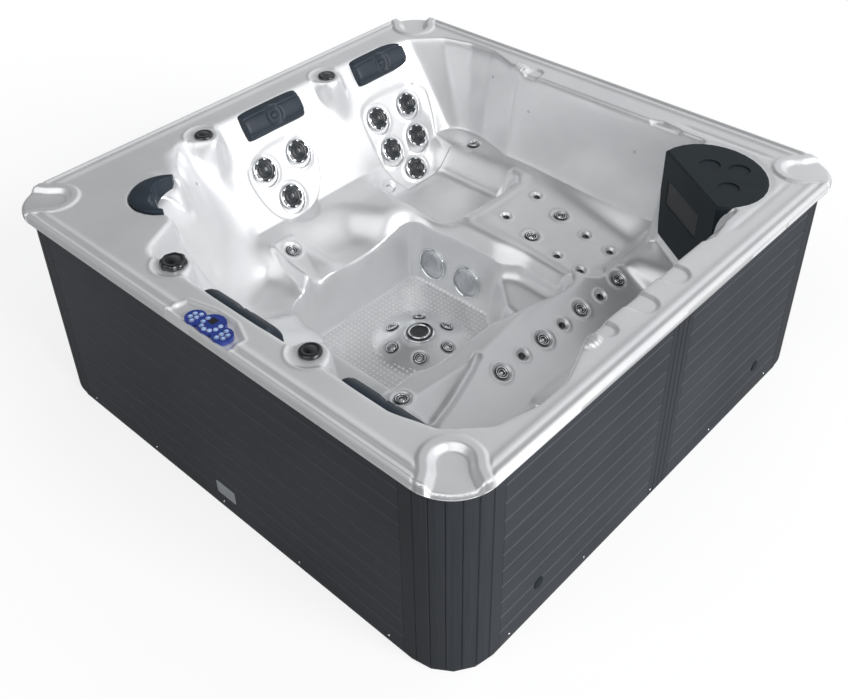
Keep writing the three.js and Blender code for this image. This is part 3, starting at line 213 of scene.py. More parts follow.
def metal(name, dark, light, roughness):
    """Bare or plated metal, slightly uneven in tone and polish."""
    made, tree, shader, place = material(name)
    tone = noise(tree, place, 60.0, 3.0)
    tree.links.new(ramp(tree, tone, 0.3, 0.7, dark, light), shader.inputs["Base Color"])
    tree.links.new(spread(tree, tone, roughness * 0.7, roughness * 1.3), shader.inputs["Roughness"])
    shader.inputs["Metallic"].default_value = 1.0
    bump(tree, shader, tone, 0.05, 0.0002)
    return made


ACRYLIC = acrylic()
SLATE = plank("slate_planks", (0.032, 0.036, 0.043), (0.070, 0.077, 0.090), (2.5, 2.5, 90.0), PLANK_PITCH)
STAVES = plank("corner_staves", (0.028, 0.032, 0.038), (0.046, 0.051, 0.060), (90.0, 90.0, 2.5))
FOAM = moulded("pillow_skin", (0.016, 0.024, 0.034), (0.026, 0.036, 0.050), 0.45, 0.0003, specular=0.35)
SATIN = moulded("console_plastic", (0.010, 0.016, 0.020), (0.015, 0.022, 0.027), 0.45, 0.0002, specular=0.18)
BLACK = moulded("gloss_black", (0.006, 0.007, 0.009), (0.012, 0.013, 0.016), 0.22, 0.00005, 0.6)
JET_BLACK = moulded("jet_black", (0.010, 0.013, 0.016), (0.018, 0.022, 0.026), 0.28, 0.00005, 0.4)
GLASS = moulded("dark_screen", (0.004, 0.005, 0.007), (0.008, 0.010, 0.013), 0.35, 0.00002, 0.2)
BLUE = moulded("blue_panel", (0.006, 0.024, 0.20), (0.012, 0.040, 0.28), 0.35, 0.0001, 0.3)
KEYS = moulded("pale_blue_keys", (0.30, 0.50, 0.82), (0.42, 0.62, 0.90), 0.4, 0.0001)
KEY_RIMS = moulded("white_key_rims", (0.70, 0.74, 0.80), (0.82, 0.85, 0.90), 0.5, 0.0001)
GRILLE = metal("brushed_grille", (0.52, 0.54, 0.56), (0.62, 0.64, 0.66), 0.30)
PLATE = moulded("bare_plate", (0.36, 0.38, 0.40), (0.46, 0.48, 0.50), 0.4, 0.0001)
WORKS = moulded("works_plastic", (0.03, 0.035, 0.04), (0.05, 0.055, 0.06), 0.5)
PIPE = moulded("pipe_plastic", (0.72, 0.73, 0.73), (0.80, 0.81, 0.81), 0.4)
CHROME = metal("bright_chrome", (0.70, 0.72, 0.74), (0.82, 0.83, 0.84), 0.12)
TIMBER = plank("frame_timber", (0.30, 0.19, 0.10), (0.46, 0.31, 0.17), (60.0, 3.0, 60.0))


# Meshes

def piece(name, bm, materials, body="tub", replaces=(), smooth=True):
    """A finished piece from a bmesh, riding on its body."""
    mesh = bpy.data.meshes.new(name)
    bm.to_mesh(mesh)
    bm.free()
    if smooth:
        mesh.shade_smooth()
    made = bpy.data.objects.new(name, mesh)
    bpy.context.scene.collection.objects.link(made)
    for one in materials:
        mesh.materials.append(one)
    if replaces:
        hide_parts(*replaces)
    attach(made, body)
    return made


def bevelled(made, width, segments, angle=30):
    """Bevels the sharp edges of a piece."""
    one = made.modifiers.new("edges", "BEVEL")
    one.width = width
    one.segments = segments
    one.limit_method = "ANGLE"
    one.angle_limit = math.radians(angle)
    one.harden_normals = True


def spin(bm, profile, steps=48, mat=0):
    """Adds a solid of revolution about Z from radius and height pairs."""
    verts = [bm.verts.new((r, 0, z)) for r, z in profile]
    edges = [bm.edges.new(pair) for pair in zip(verts, verts[1:])]
    bmesh.ops.spin(
        bm, geom=verts + edges, cent=(0, 0, 0), axis=(0, 0, 1), angle=2 * math.pi, steps=steps,
        use_merge=True,
    )
    faces = {f for v in bm.verts for f in v.link_faces if f.material_index == 0 and not f.tag}
    for f in faces:
        f.material_index = mat
        f.tag = True
    bmesh.ops.remove_doubles(bm, verts=bm.verts, dist=1e-6)


def put(bm, matrix):
    bmesh.ops.transform(bm, matrix=matrix, verts=bm.verts)


def add(bm, part):
    """Adds one bmesh to another and frees it."""
    joined = bpy.data.meshes.new("part")
    part.to_mesh(joined)
    part.free()
    bm.from_mesh(joined)
    bpy.data.meshes.remove(joined)


def standing(place, normal):
    """The matrix that stands a fitting's Z along a wall's normal at a place."""
    turn = Vector((0, 0, 1)).rotation_difference(Vector(normal).normalized()).to_matrix().to_4x4()
    return Matrix.Translation(place) @ turn


# Camera

camera = bpy.data.objects.new("camera", bpy.data.cameras.new("camera"))
camera.data.lens = 45.64
camera.data.sensor_width = 36.0
camera.data.shift_x = 0.0189
camera.data.shift_y = -0.0820
camera.matrix_world = Matrix((
    (0.72969, -0.40218, 0.55300, 2.272),
    (0.68335, 0.45773, -0.56879, -2.456),
    (-0.02437, 0.79293, 0.60883, 2.988),
    (0, 0, 0, 1),
))
bpy.context.scene.collection.objects.link(camera)
bpy.context.scene.camera = camera
bpy.context.scene.view_settings.view_transform = "Standard"


# Places of the jets: each with its wall's normal

BACK = (0.8562067, 0.0, 0.5166334)
BENCH = (0.45658, 0.0, 0.88968)
LEG = (0.15110, 0.0, 0.98852)
KNEE = (-0.90906, 0.0, 0.41665)
ARM = (0.36541, 0.0, 0.93085)
UP = (0.0, 0.0, 1.0)
LARGE_JETS = [
    ((-0.81579, 0.0748, 0.65167), BACK),
    ((-0.81319, -0.1133, 0.64736), BACK),
    ((-0.73569, -0.0484, 0.51892), BACK),
    ((-0.79498, 0.7282, 0.61719), BACK),
    ((-0.79654, 0.539, 0.61978), BACK),
    ((-0.718, 0.7095, 0.48962), BACK),
    ((-0.718, 0.5423, 0.48962), BACK),
    ((-0.65065, 0.6259, 0.37799), BACK),
]
SMALL_JETS = [
    ((-0.63634, 0.4312, 0.35428), BACK),
    ((0.54338, -0.2156, 0.40485), BENCH),
    ((0.54338, 0.0242, 0.40485), BENCH),
    ((0.54338, 0.2574, 0.40485), BENCH),
    ((0.54338, 0.5016, 0.40485), BENCH),
    ((0.1056, 0.5148, 0.40364), LEG),
    ((0.1056, 0.715, 0.40364), LEG),
    ((-0.1815, 0.5148, 0.402), KNEE),
    ((-0.1815, 0.715, 0.402), KNEE),
    ((-0.5115, 0.869, 0.45), UP),
    ((-0.5599, -0.2156, 0.41229), ARM),
    ((0.4026, -0.5819, 0.45), UP),
]
DOME = (-0.0253, -0.0352)
DOME_SLOPE = DOME_RISE / 0.115
FLOOR_JETS = []
for i in range(6):
    turn = math.radians(13 + 60 * i)
    out = Vector((math.cos(turn), math.sin(turn), 0))
    # On a circle of 130 mm, on the dome's slope.
    spot = Vector((*DOME, FLOOR + 0.070 * DOME_SLOPE)) + 0.130 * out
    FLOOR_JETS.append((tuple(spot), tuple(Vector((out.x, out.y, 1 / DOME_SLOPE)).normalized())))
KNOBS = {
    "air_knob_1": (-0.9196, -0.3135),
    "air_knob_2": (-0.9196, 0.3608),
    "diverter_knob_1": (-0.3135, -0.9196),
    "diverter_knob_2": (0.3608, -0.9196),
}
PIT_WALL = (0.0, -0.99249, 0.12233)
SUCTIONS = [((-0.2475, 0.2952, 0.21), PIT_WALL), ((-0.055, 0.2952, 0.21), PIT_WALL)]
# Air holes along the bench and the leg rest, each with its radius
DIMPLES = [
    ((0.550, 0.378, 0.4015), BENCH, 0.020),
    ((0.545, 0.141, 0.404), BENCH, 0.020),
    ((0.541, -0.094, 0.406), BENCH, 0.020),
    ((-0.043, 0.743, 0.4264), LEG, 0.019),
    ((-0.045, 0.536, 0.4267), LEG, 0.019),
    ((0.254, 0.695, 0.381), LEG, 0.019),
    ((0.249, 0.502, 0.3817), LEG, 0.019),
    ((0.380, 0.690, 0.3617), LEG, 0.019),
    ((0.367, 0.502, 0.3637), LEG, 0.019),
]


# Acrylic shell: heights over the plan

def ease(low, high, value):
    t = np.clip((value - low) / (high - low), 0, 1)
    return t * t * (3 - 2 * t)


def outline_distance(x, y, half=HALF, radius=LIP_RADIUS):
    """Distance from a rounded square, negative inside."""
    qx = np.abs(x) - half + radius
    qy = np.abs(y) - half + radius
    outside = np.hypot(np.maximum(qx, 0), np.maximum(qy, 0))
    return outside + np.minimum(np.maximum(qx, qy), 0) - radius


def polygon_distance(x, y, corners):
    """Distance from a polygon's edge, negative inside."""
    best = np.full(x.shape, 1e9)
    inside = np.zeros(x.shape, bool)
    for (x0, y0), (x1, y1) in zip(corners, corners[1:] + corners[:1]):
        dx, dy = x1 - x0, y1 - y0
        t = np.clip(((x - x0) * dx + (y - y0) * dy) / (dx * dx + dy * dy), 0, 1)
        best = np.minimum(best, np.hypot(x - x0 - t * dx, y - y0 - t * dy))
        crosses = (y0 > y) != (y1 > y)
        inside ^= crosses & (x < x0 + (y - y0) * dx / (dy if dy else 1e-9))
    return np.where(inside, -best, best)


def blurred(values, sigma):
    """Gaussian smoothing, sigma in metres."""
    cells = sigma / CELL
    reach = max(1, int(3 * cells + 0.5))
    kernel = np.exp(-0.5 * (np.arange(-reach, reach + 1) / cells) ** 2)
    kernel /= kernel.sum()
    for axis in (0, 1):
        padded = np.pad(values, [(reach, reach) if a == axis else (0, 0) for a in (0, 1)], mode="edge")
        values = sum(
            k * (padded[i:i + values.shape[0], :] if axis == 0 else padded[:, i:i + values.shape[1]])
            for i, k in enumerate(kernel)
        )
    return values


def wall_height(x, y, place, normal):
    """Height of a wall's plane over the plan."""
    return place[2] - (normal[0] * (x - place[0]) + normal[1] * (y - place[1])) / normal[2]


def wall_distance(x, y, z, place):
    return np.sqrt((x - place[0]) ** 2 + (y - place[1]) ** 2 + (z - place[2]) ** 2)


CONSOLE_START = Vector((0.5236, 0.7755))
CONSOLE_END = Vector((0.8679, 0.5555))
CONSOLE_MIDDLE = (CONSOLE_START + CONSOLE_END) / 2
CONSOLE_ALONG = (CONSOLE_END - CONSOLE_START).normalized()
CONSOLE_BACK = Vector((-CONSOLE_ALONG.y, CONSOLE_ALONG.x))


def in_console(x, y):
    """Coordinates in the console's frame: along its chord, and behind it."""
    dx, dy = x - CONSOLE_MIDDLE.x, y - CONSOLE_MIDDLE.y
    return dx * CONSOLE_ALONG.x + dy * CONSOLE_ALONG.y, dx * CONSOLE_BACK.x + dy * CONSOLE_BACK.y


def shell_heights():
    """The shell's upper face as heights on a square grid, with its fittings' pockets closed."""
    bm = bmesh.new()
    bm.from_mesh(nodes["acrylic_shell"].data)
    tree = BVHTree.FromBMesh(bm)
    bm.free()
    steps = int(round(2 * HALF / CELL))
    line = np.linspace(-HALF, HALF, steps + 1)
    x, y = np.meshgrid(line, line, indexing="ij")
    z = np.full(x.shape, PLATFORM)
    down = Vector((0, 0, -1))
    inside = outline_distance(x, y) < -0.0005
    for i, j in zip(*np.nonzero(inside)):
        hit = tree.ray_cast(Vector((x[i, j] + 1e-5, y[i, j] + 2e-5, 1.0)), down)[0]
        if hit is not None:
            z[i, j] = hit.z
    for group, reach in ((LARGE_JETS, 0.066), (SMALL_JETS, 0.044), (SUCTIONS, 0.034)):
        for place, normal in group:
            flat = wall_height(x, y, place, normal)
            near = wall_distance(x, y, flat, place) < reach
            z[near] = flat[near]
    radius = np.hypot(x - DOME[0], y - DOME[1])
    cone = np.minimum(FLOOR + DOME_RISE, FLOOR + (0.200 - radius) * DOME_SLOPE)
    on_dome = radius < 0.199
    z[on_dome] = cone[on_dome]
    for place in KNOBS.values():
        near = np.hypot(x - place[0], y - place[1]) < 0.03
        z[near] = PLATFORM
    along, behind = in_console(x, y)
    in_d = (along / 0.236) ** 2 + ((behind - 0.088) / 0.210) ** 2 < 1
    z[in_d & (behind > -0.002)] = 0.485
    inner_d = (along / 0.190) ** 2 + ((behind - 0.088) / 0.166) ** 2 < 1
    z[in_d & ~inner_d & ((behind > 0.03) | (np.abs(along) > 0.196))] = DECK - 0.004
    z[inner_d & (behind > 0.03)] = DECK - 0.060
    return line, x, y, z


def dished(x, y, z, place, normal, depth, inner, outer):
    """Presses a round recess square to its wall."""
    flat = wall_height(x, y, place, normal)
    away = wall_distance(x, y, flat, place)
    near = np.abs(z - flat) < 0.05
    return z - near * depth * (1 - ease(inner, outer, away)) / normal[2]


def rim_profile(edge):
    """The rim from its outer edge inwards: an outer crest, a groove and a broader second crest."""
    outer = 0.0068 * np.exp(-(((edge - 0.0145) / 0.0085) ** 2))
    second = 0.0056 * np.exp(-(((edge - 0.048) / 0.014) ** 2))
    groove = 0.0016 * np.exp(-(((edge - 0.0305) / 0.006) ** 2))
    fall = 0.0060 * np.exp(-((edge / 0.005) ** 2))
    return DECK + outer + second - groove - fall


def eased(corners):
    """A closed outline with its corners cut round."""
    for _ in range(3):
        pairs = list(zip(corners, corners[1:] + corners[:1]))
        corners = [
            (a[0] * s + b[0] * (1 - s), a[1] * s + b[1] * (1 - s)) for a, b in pairs for s in (0.75, 0.25)
        ]
    return corners


def line_distance(x, y, points):
    """Distance from a run of straight lines."""
    best = np.full(x.shape, 1e9)
    for (x0, y0), (x1, y1) in zip(points, points[1:]):
        dx, dy = x1 - x0, y1 - y0
        t = np.clip(((x - x0) * dx + (y - y0) * dy) / (dx * dx + dy * dy), 0, 1)
        best = np.minimum(best, np.hypot(x - x0 - t * dx, y - y0 - t * dy))
    return best


def tongue(x, y, tip, middle, half):
    """Distance from a channel along X that ends in a half round at its tip."""
    across = np.abs(y - middle)
    beyond = np.maximum(x - (tip - half), 0)
    return np.hypot(beyond, across) - half


def collared(x, y, z, place, normal, height, radius, width):
    """Raises a soft ring round a fitting, square to its wall."""
    flat = wall_height(x, y, place, normal)
    away = wall_distance(x, y, flat, place)
    near = np.abs(z - flat) < 0.05
    return z + near * height * np.exp(-(((away - radius) / width) ** 2)) / normal[2]


def seat_forms(x, y, raw):
    """The seats' forms that flow over several CAD faces."""
    # The corner pillow's nest.
    nest = np.hypot(x - NEST, y - NEST) < 0.118
    raw = np.where(nest, np.minimum(raw, 0.765), raw)
    # The left seat's back rises in one sweep from its pan.
    pan = polygon_distance(x, y, [
        (-0.10, 0.20), (-0.245, 0.150), (-0.419, 0.086), (-0.500, 0.037), (-0.538, -0.150), (-0.10, -0.30),
    ])
    here = (x < -0.215) & (x > -0.72) & (y > -0.16) & (y < 0.33) & (raw > 0.30) & (raw < 0.47)
    raw = np.where(here, np.maximum(raw, 0.345 + 0.105 * ease(-0.02, 0.15, pan)), raw)
    # The bench's hip slope runs on to the near end, beyond a ridge that bends in to the front pillow.
    slope = np.maximum(wall_height(x, y, (0.54338, 0.0, 0.40485), BENCH), 0.285)
    near_end = polygon_distance(x, y, eased([
        (0.446, -0.20), (0.470, -0.36), (0.535, -0.56), (0.60, -0.72), (0.86, -0.72), (0.86, -0.20),
    ]))
    raw = np.where((near_end < 0) & (raw < 0.46), slope, raw)
    facet = polygon_distance(x, y, [(0.418, -0.60), (0.446, -0.235), (0.472, -0.36), (0.545, -0.60)])
    fall = 0.06 * np.clip((x - 0.43) / 0.11, 0, 1) * ease(-0.25, -0.50, y)
    return np.where((facet < 0) & (raw < 0.47), 0.452 - fall, raw)


def softened(x, y, raw):
    """The moulded sheet's easy curves, from heights with crisp CAD edges."""
    soft = blurred(raw, 0.008)
    # Seats, arms and lounger flow into each other; walls, footwell floor, knee and armrest bar stay crisp.
    soft = soft + 0.5 * (blurred(raw, 0.016) - soft) * (1 - ease(0.74, 0.80, soft)) * ease(0.13, 0.2, soft)
    held = np.clip(soft, 0.335, 0.462)
    flowing = blurred(held, 0.030) - held
    bar = polygon_distance(x, y, [(-0.60, -0.27), (-0.385, -0.31), (-0.385, -0.235), (-0.60, -0.165)])
    knee = polygon_distance(x, y, [(-0.23, 0.40), (-0.13, 0.40), (-0.13, 0.82), (-0.23, 0.82)])
    bench = polygon_distance(x, y, [(0.36, -0.70), (0.66, -0.70), (0.66, 0.56), (0.44, 0.56), (0.33, 0.0)])
    crisp = np.minimum(np.minimum(bar, knee), bench)
    soft = soft + flowing * ease(0.20, 0.33, soft) * ease(0.0, 0.03, crisp)
    # The corner seat's walls are one sweep from the left seat round to the front one.
    corner = polygon_distance(x, y, [
        (-0.96, -0.96), (-0.96, -0.42), (-0.80, -0.36), (-0.60, -0.36), (-0.50, -0.50), (-0.36, -0.60),
        (-0.36, -0.80), (-0.42, -0.96),
    ])
    walls = np.clip(soft, 0.30, 0.80)
    sweep = (blurred(walls, 0.050) - walls) * (1 - ease(-0.06, 0.04, corner))
    soft = soft + sweep * (1 - ease(0.76, 0.82, soft))
    # The deck rolls over softly between the left air knob and the corner pillow.
    shoulder = polygon_distance(x, y, [
        (-0.93, -0.64), (-0.93, -0.36), (-0.78, -0.24), (-0.56, -0.34), (-0.56, -0.60),
    ])
    beyond_nest = ease(0.122, 0.165, np.hypot(x - NEST, y - NEST))
    return soft + (blurred(soft, 0.028) - soft) * (1 - ease(-0.05, 0.01, shoulder)) * beyond_nest


def rim_forms(x, y, edge, z):
    """The double-crested rim, with its scoops, pocket, dishes, stops and knob lips."""
    rim = 1 - ease(0.072, 0.094, edge)
    z = z + (rim_profile(edge) - z) * rim
    # Corner scoops: a raised U round a level dish that runs out over the lip.
    diagonal = (np.abs(x) + np.abs(y)) / math.sqrt(2)
    across = np.abs(np.abs(x) - np.abs(y)) / math.sqrt(2)
    flare = 0.25 * np.maximum(diagonal - 1.405, 0)
    scoop = np.hypot(np.minimum(diagonal - 1.372, 0), across) - 0.072 - flare
    form = 0.8505 + 0.0190 * ease(-0.030, -0.003, scoop) - 0.0075 * ease(0.016, 0.033, scoop)
    form -= 0.0075 * np.exp(-((edge / 0.006) ** 2))
    z = z + (form - z) * (1 - ease(0.020, 0.036, scoop)) * (edge > -0.02)
    # The ridge lies down round the control panel, in a long shallow pocket.
    pocket = polygon_distance(x, y, [
        (-0.125, -1.088), (0.175, -1.088), (0.168, -1.02), (0.09, -0.985), (0.0, -0.985),
        (-0.115, -1.015),
    ])
    z = z - (z - (DECK - 0.0045)) * (1 - ease(-0.012, 0.004, pocket)) * (edge > 0.003)
    z = z + 0.0025 * np.exp(-(((pocket - 0.006) / 0.006) ** 2)) * (edge > 0.010)
    shared = [(1.002, -0.250, 0.036)]
    lit_side = [(1.021, 0.125, 0.053), (1.030, -0.070, 0.050)]
    for u, v, dishes in ((x, y, shared + lit_side), (y, x, shared)):
        on_deck = ease(0.835, 0.852, z) * (u > 0.8)
        # Shallow dishes, open to the water, and the ribbed stop beside one of them.
        for tip, middle, half in dishes:
            z = z - on_deck * 0.0075 * (1 - ease(-0.013, 0.003, tongue(u, v, tip, middle, half)))
        notch = polygon_distance(u, v, [
            (0.78, 0.565), (0.89, 0.535), (0.945, 0.49), (0.960, 0.40), (0.945, 0.350), (0.78, 0.35),
        ])
        z = z - on_deck * 0.009 * (1 - ease(-0.014, 0.003, notch))
        away = np.hypot((u - 0.957) / 0.034, (v + 0.328) / 0.046)
        stop = 1 - ease(0.55, 1.05, away)
        z = z + on_deck * stop * (0.009 + 0.0034 * np.cos(2 * math.pi * (v + 0.328) / 0.0165))
        valley = ease(0.43, 0.52, v) * (1 - ease(0.80, 0.90, v)) * (u > v - 0.02)
        z = z - on_deck * valley * 0.0045 * np.exp(-(((edge - 0.119) / 0.011) ** 2))
    # Raised lips round the knobs' platforms.
    for place in KNOBS.values():
        away = np.hypot(x - place[0], y - place[1])
        z = z + 0.0030 * np.exp(-(((away - 0.080) / 0.006) ** 2)) * ease(0.845, 0.855, z)
    return z


def fitting_forms(x, y, z):
    """Ridges, jet shields, collars and recesses pressed into the seats and walls."""
    # Ridges along the bench: the facet's two edges and the top of the hip slope.
    for points, height, width in (
        ([(0.422, -0.600), (0.438, -0.420), (0.453, -0.246)], 0.004, 0.008),
        ([(0.453, -0.246), (0.478, -0.310), (0.512, -0.440), (0.545, -0.610)], 0.009, 0.014),
        ([(0.453, -0.246), (0.440, -0.120), (0.420, 0.050), (0.415, 0.220), (0.425, 0.380)], 0.006, 0.016),
    ):
        away = line_distance(x, y, points)
        z = z + height * np.exp(-((away / width) ** 2)) * (1 - ease(0.50, 0.60, z))
    # Raised edges round the groups of wall jets.
    lounger = [
        (0.468, 0.684), (0.569, 0.712), (0.763, 0.699), (0.852, 0.670), (0.857, 0.616), (0.833, 0.468),
        (0.740, 0.322), (0.628, 0.290), (0.535, 0.313), (0.467, 0.399), (0.453, 0.502), (0.449, 0.628),
    ]
    seat = [
        (-0.205, 0.690), (-0.02, 0.735), (0.165, 0.705), (0.155, 0.56), (0.05, 0.44), (-0.13, 0.44),
        (-0.2, 0.56),
    ]
    back = (x < -0.6) & (y > -0.3)
    for corners in (lounger, seat):
        away = polygon_distance(y, z, eased(corners))
        z = z - back * 0.007 / BACK[2] * (1 - ease(-0.012, 0.006, away))
    for place, normal in LARGE_JETS:
        z = collared(x, y, z, place, normal, 0.004, 0.067, 0.009)
        z = dished(x, y, z, place, normal, 0.007, 0.056, 0.066)
    for place, normal in SMALL_JETS:
        z = collared(x, y, z, place, normal, 0.003, 0.040, 0.008)
        z = dished(x, y, z, place, normal, 0.004, 0.028, 0.038)
    for place, normal in FLOOR_JETS:
        z = dished(x, y, z, place, normal, 0.003, 0.028, 0.038)
    for place, normal, radius in DIMPLES:
        z = collared(x, y, z, place, normal, 0.0025, radius * 1.45, 0.006)
        z = dished(x, y, z, place, normal, 0.013, radius * 0.60, radius * 1.25)
    return z


def shell_form():
    line, x, y, raw = shell_heights()
    edge = -outline_distance(x, y)
    z = softened(x, y, seat_forms(x, y, raw))
    return line, fitting_forms(x, y, rim_forms(x, y, edge, z))


line, heights = shell_form()
slope_x, slope_y = np.gradient(heights, CELL)


def sampled(table, x, y):
    """Bilinear value of a table on the plan's grid."""
    u = np.clip((x + HALF) / CELL, 0, len(line) - 1.001)
    v = np.clip((y + HALF) / CELL, 0, len(line) - 1.001)
    i, j = u.astype(int), v.astype(int)
    s, t = u - i, v - j
    return (
        table[i, j] * (1 - s) * (1 - t) + table[i + 1, j] * s * (1 - t)
        + table[i, j + 1] * (1 - s) * t + table[i + 1, j + 1] * s * t
    )


def at_point(table, x, y):
    return float(sampled(table, np.array([x]), np.array([y]))[0])


def shell_quarter(sign_x, sign_y):
    """A quarter of the tub's upper face, trimmed to the lip, with the lip turned down round it."""
    cells = int(round(HALF / CELL))
    bm = bmesh.new()
    bmesh.ops.create_grid(bm, x_segments=cells, y_segments=cells, size=HALF / 2)
    bmesh.ops.translate(bm, verts=bm.verts, vec=(sign_x * HALF / 2, sign_y * HALF / 2, 0))
    beyond = [v for v in bm.verts if outline_distance(v.co.x, v.co.y) > 0.25 * CELL]
    bmesh.ops.delete(bm, geom=beyond, context="VERTS")
    rim = []
    for e in bm.edges:
        if e.is_boundary:
            a, b = e.verts
            on_x = abs(a.co.x) < 1e-5 and abs(b.co.x) < 1e-5
            on_y = abs(a.co.y) < 1e-5 and abs(b.co.y) < 1e-5
            if not (on_x or on_y):
                rim.append(e)
    for v in {v for e in rim for v in e.verts}:
        for _ in range(3):
            away = float(outline_distance(v.co.x, v.co.y))
            step = 1e-4
            gx = (float(outline_distance(v.co.x + step, v.co.y)) - away) / step
            gy = (float(outline_distance(v.co.x, v.co.y + step)) - away) / step
            size = math.hypot(gx, gy) or 1
            v.co.x -= away * gx / size if abs(v.co.x) > 1e-5 else 0
            v.co.y -= away * gy / size if abs(v.co.y) > 1e-5 else 0
    bm.verts.ensure_lookup_table()
    plan = np.array([v.co[:2] for v in bm.verts])
    z = sampled(heights, plan[:, 0], plan[:, 1])
    edge = -outline_distance(plan[:, 0], plan[:, 1])
    for v, height in zip(bm.verts, z):
        v.co.z = height
    top_count = len(bm.verts)
    for inward, level in ((0.0, 0.838), (0.0, LIP_BOTTOM + 0.004), (0.003, LIP_BOTTOM), (0.024, LIP_BOTTOM)):
        made = bmesh.ops.extrude_edge_only(bm, edges=rim)["geom"]
        rim = [g for g in made if isinstance(g, bmesh.types.BMEdge)]
        for v in (g for g in made if isinstance(g, bmesh.types.BMVert)):
            v.co.z = level
            if inward > 0:
                away = Vector((v.co.x, v.co.y))
                inner = HALF - LIP_RADIUS
                corner = Vector((max(-inner, min(inner, away.x)), max(-inner, min(inner, away.y))))
                out = (away - corner).normalized()
                v.co.x -= out.x * inward if abs(v.co.x) > 1e-5 else 0
                v.co.y -= out.y * inward if abs(v.co.y) > 1e-5 else 0
    bmesh.ops.recalc_face_normals(bm, faces=bm.faces)
    if sum(f.normal.z for f in bm.faces) < 0:
        bmesh.ops.reverse_faces(bm, faces=bm.faces)
    normals = []
    for i, v in enumerate(bm.verts):
        if i < top_count and edge[i] > CELL * 0.6:
            gx, gy = at_point(slope_x, v.co.x, v.co.y), at_point(slope_y, v.co.x, v.co.y)
            normals.append(Vector((-gx, -gy, 1)).normalized())
        else:
            v.normal_update()
            normals.append(v.normal.copy())
    side = {(1, 1): "back_right", (-1, 1): "back_left", (-1, -1): "front_left", (1, -1): "front_right"}
    name = f"shell_{side[sign_x, sign_y]}"
    whole = ("acrylic_shell",) if (sign_x, sign_y) == (1, 1) else ()
    made = piece(name, bm, [ACRYLIC], replaces=whole)
    made.data.normals_split_custom_set_from_vertices(normals)


for sx in (-1, 1):
    for sy in (-1, 1):
        shell_quarter(sx, sy)


# Jets

def large_jet(index, place, normal):
    """A directional jet: thin bright ring, a black seven-pointed face and a stepped nozzle."""
    bm = bmesh.new()
    spin(bm, [
        (0.0, -0.006), (0.0545, -0.006), (0.0545, 0.0008), (0.0535, 0.0030), (0.0515, 0.0038),
        (0.0498, 0.0022),
    ], 56, 0)
    spin(bm, [
        (0.0498, 0.0022), (0.0485, 0.0040), (0.036, 0.0030), (0.0300, 0.0026), (0.0290, -0.0015),
        (0.0235, -0.0030), (0.0225, -0.0005), (0.0185, -0.0002), (0.0175, -0.0030), (0.0125, -0.0045),
        (0.0, -0.005),
    ], 56, 1)
    for k in range(7):
        turn = Matrix.Rotation(2 * math.pi * k / 7, 4, "Z")
        made = bmesh.ops.create_uvsphere(bm, u_segments=16, v_segments=8, radius=1.0)["verts"]
        shape = turn @ Matrix.Translation((0.0465, 0, 0.0028)) @ Matrix.Rotation(0.30, 4, "Y")
        bmesh.ops.transform(bm, matrix=shape @ Matrix.Diagonal((0.0052, 0.0105, 0.0020, 1)), verts=made)
    put(bm, standing(place, normal))
    node = f"large_jet_{index}"
    piece(f"wall_jet_{index}", bm, [CHROME, JET_BLACK], node, (node,))


def small_jet(name, place, normal, node=None):
    """A fixed jet: black outer ring, bright ring, black channel, thin bright ring and a black hole."""
    bm = bmesh.new()
    rings = (
        (1, [(0.0270, -0.005), (0.0270, 0.0008), (0.0262, 0.0022), (0.0240, 0.0026)]),
        (0, [(0.0240, 0.0026), (0.0225, 0.0036), (0.0200, 0.0032), (0.0190, 0.0010)]),
        (1, [(0.0190, 0.0010), (0.0175, -0.0014), (0.0145, -0.0008)]),
        (0, [(0.0145, -0.0008), (0.0140, 0.0018), (0.0128, 0.0024), (0.0112, 0.0010)]),
        (1, [(0.0112, 0.0010), (0.0085, -0.0035), (0.0, -0.005)]),
    )
    for finish_index, profile in rings:
        spin(bm, profile, 40, finish_index)
    put(bm, standing(place, normal))
    piece(name, bm, [CHROME, JET_BLACK], "tub", (node,) if node else ())


for i, (place, normal) in enumerate(LARGE_JETS, 1):
    large_jet(i, place, normal)
for i, (place, normal) in enumerate(SMALL_JETS, 1):
    small_jet(f"pin_jet_{i}", place, normal, f"small_jet_{i}")
for i, (place, normal) in enumerate(FLOOR_JETS, 1):
    small_jet(f"floor_jet_{i}", place, normal)


def drain():
    """The dome's round grille: two bright rings and a black middle."""
    bm = bmesh.new()
    spin(bm, [(0.065, 0.0), (0.065, 0.006), (0.062, 0.010), (0.057, 0.010), (0.055, 0.007)], 64, 0)
    spin(bm, [(0.055, 0.007), (0.050, 0.009), (0.045, 0.012)], 64, 1)
    spin(bm, [(0.045, 0.012), (0.0435, 0.0150), (0.040, 0.0150), (0.039, 0.012)], 64, 0)
    spin(bm, [(0.039, 0.012), (0.031, 0.010), (0.012, 0.0105), (0.0, 0.0107)], 64, 1)
    put(bm, Matrix.Translation((*DOME, FLOOR + DOME_RISE)))
    piece("drain_grille", bm, [CHROME, JET_BLACK], "tub", ("drain_cover",))


drain()


def suction(index, place, normal):
    """A suction cover: a bright raised rim round a low domed grille."""
    bm = bmesh.new()
    spin(bm, [
        (0.0, -0.002), (0.070, -0.002), (0.073, 0.001), (0.0735, 0.010), (0.072, 0.0130), (0.0695, 0.0138),
        (0.067, 0.0130), (0.0655, 0.0095),
    ], 56, 1)
    spin(bm, [(0.0655, 0.0095), (0.0630, 0.0085), (0.0610, 0.0118), (0.040, 0.0138), (0.0, 0.0146)], 56, 0)
    put(bm, standing(place, normal))
    node = f"suction_cover_{index}"
    piece(f"suction_disc_{index}", bm, [GRILLE, CHROME], "tub", (node,))


for i, (place, normal) in enumerate(SUCTIONS, 1):
    suction(i, place, normal)


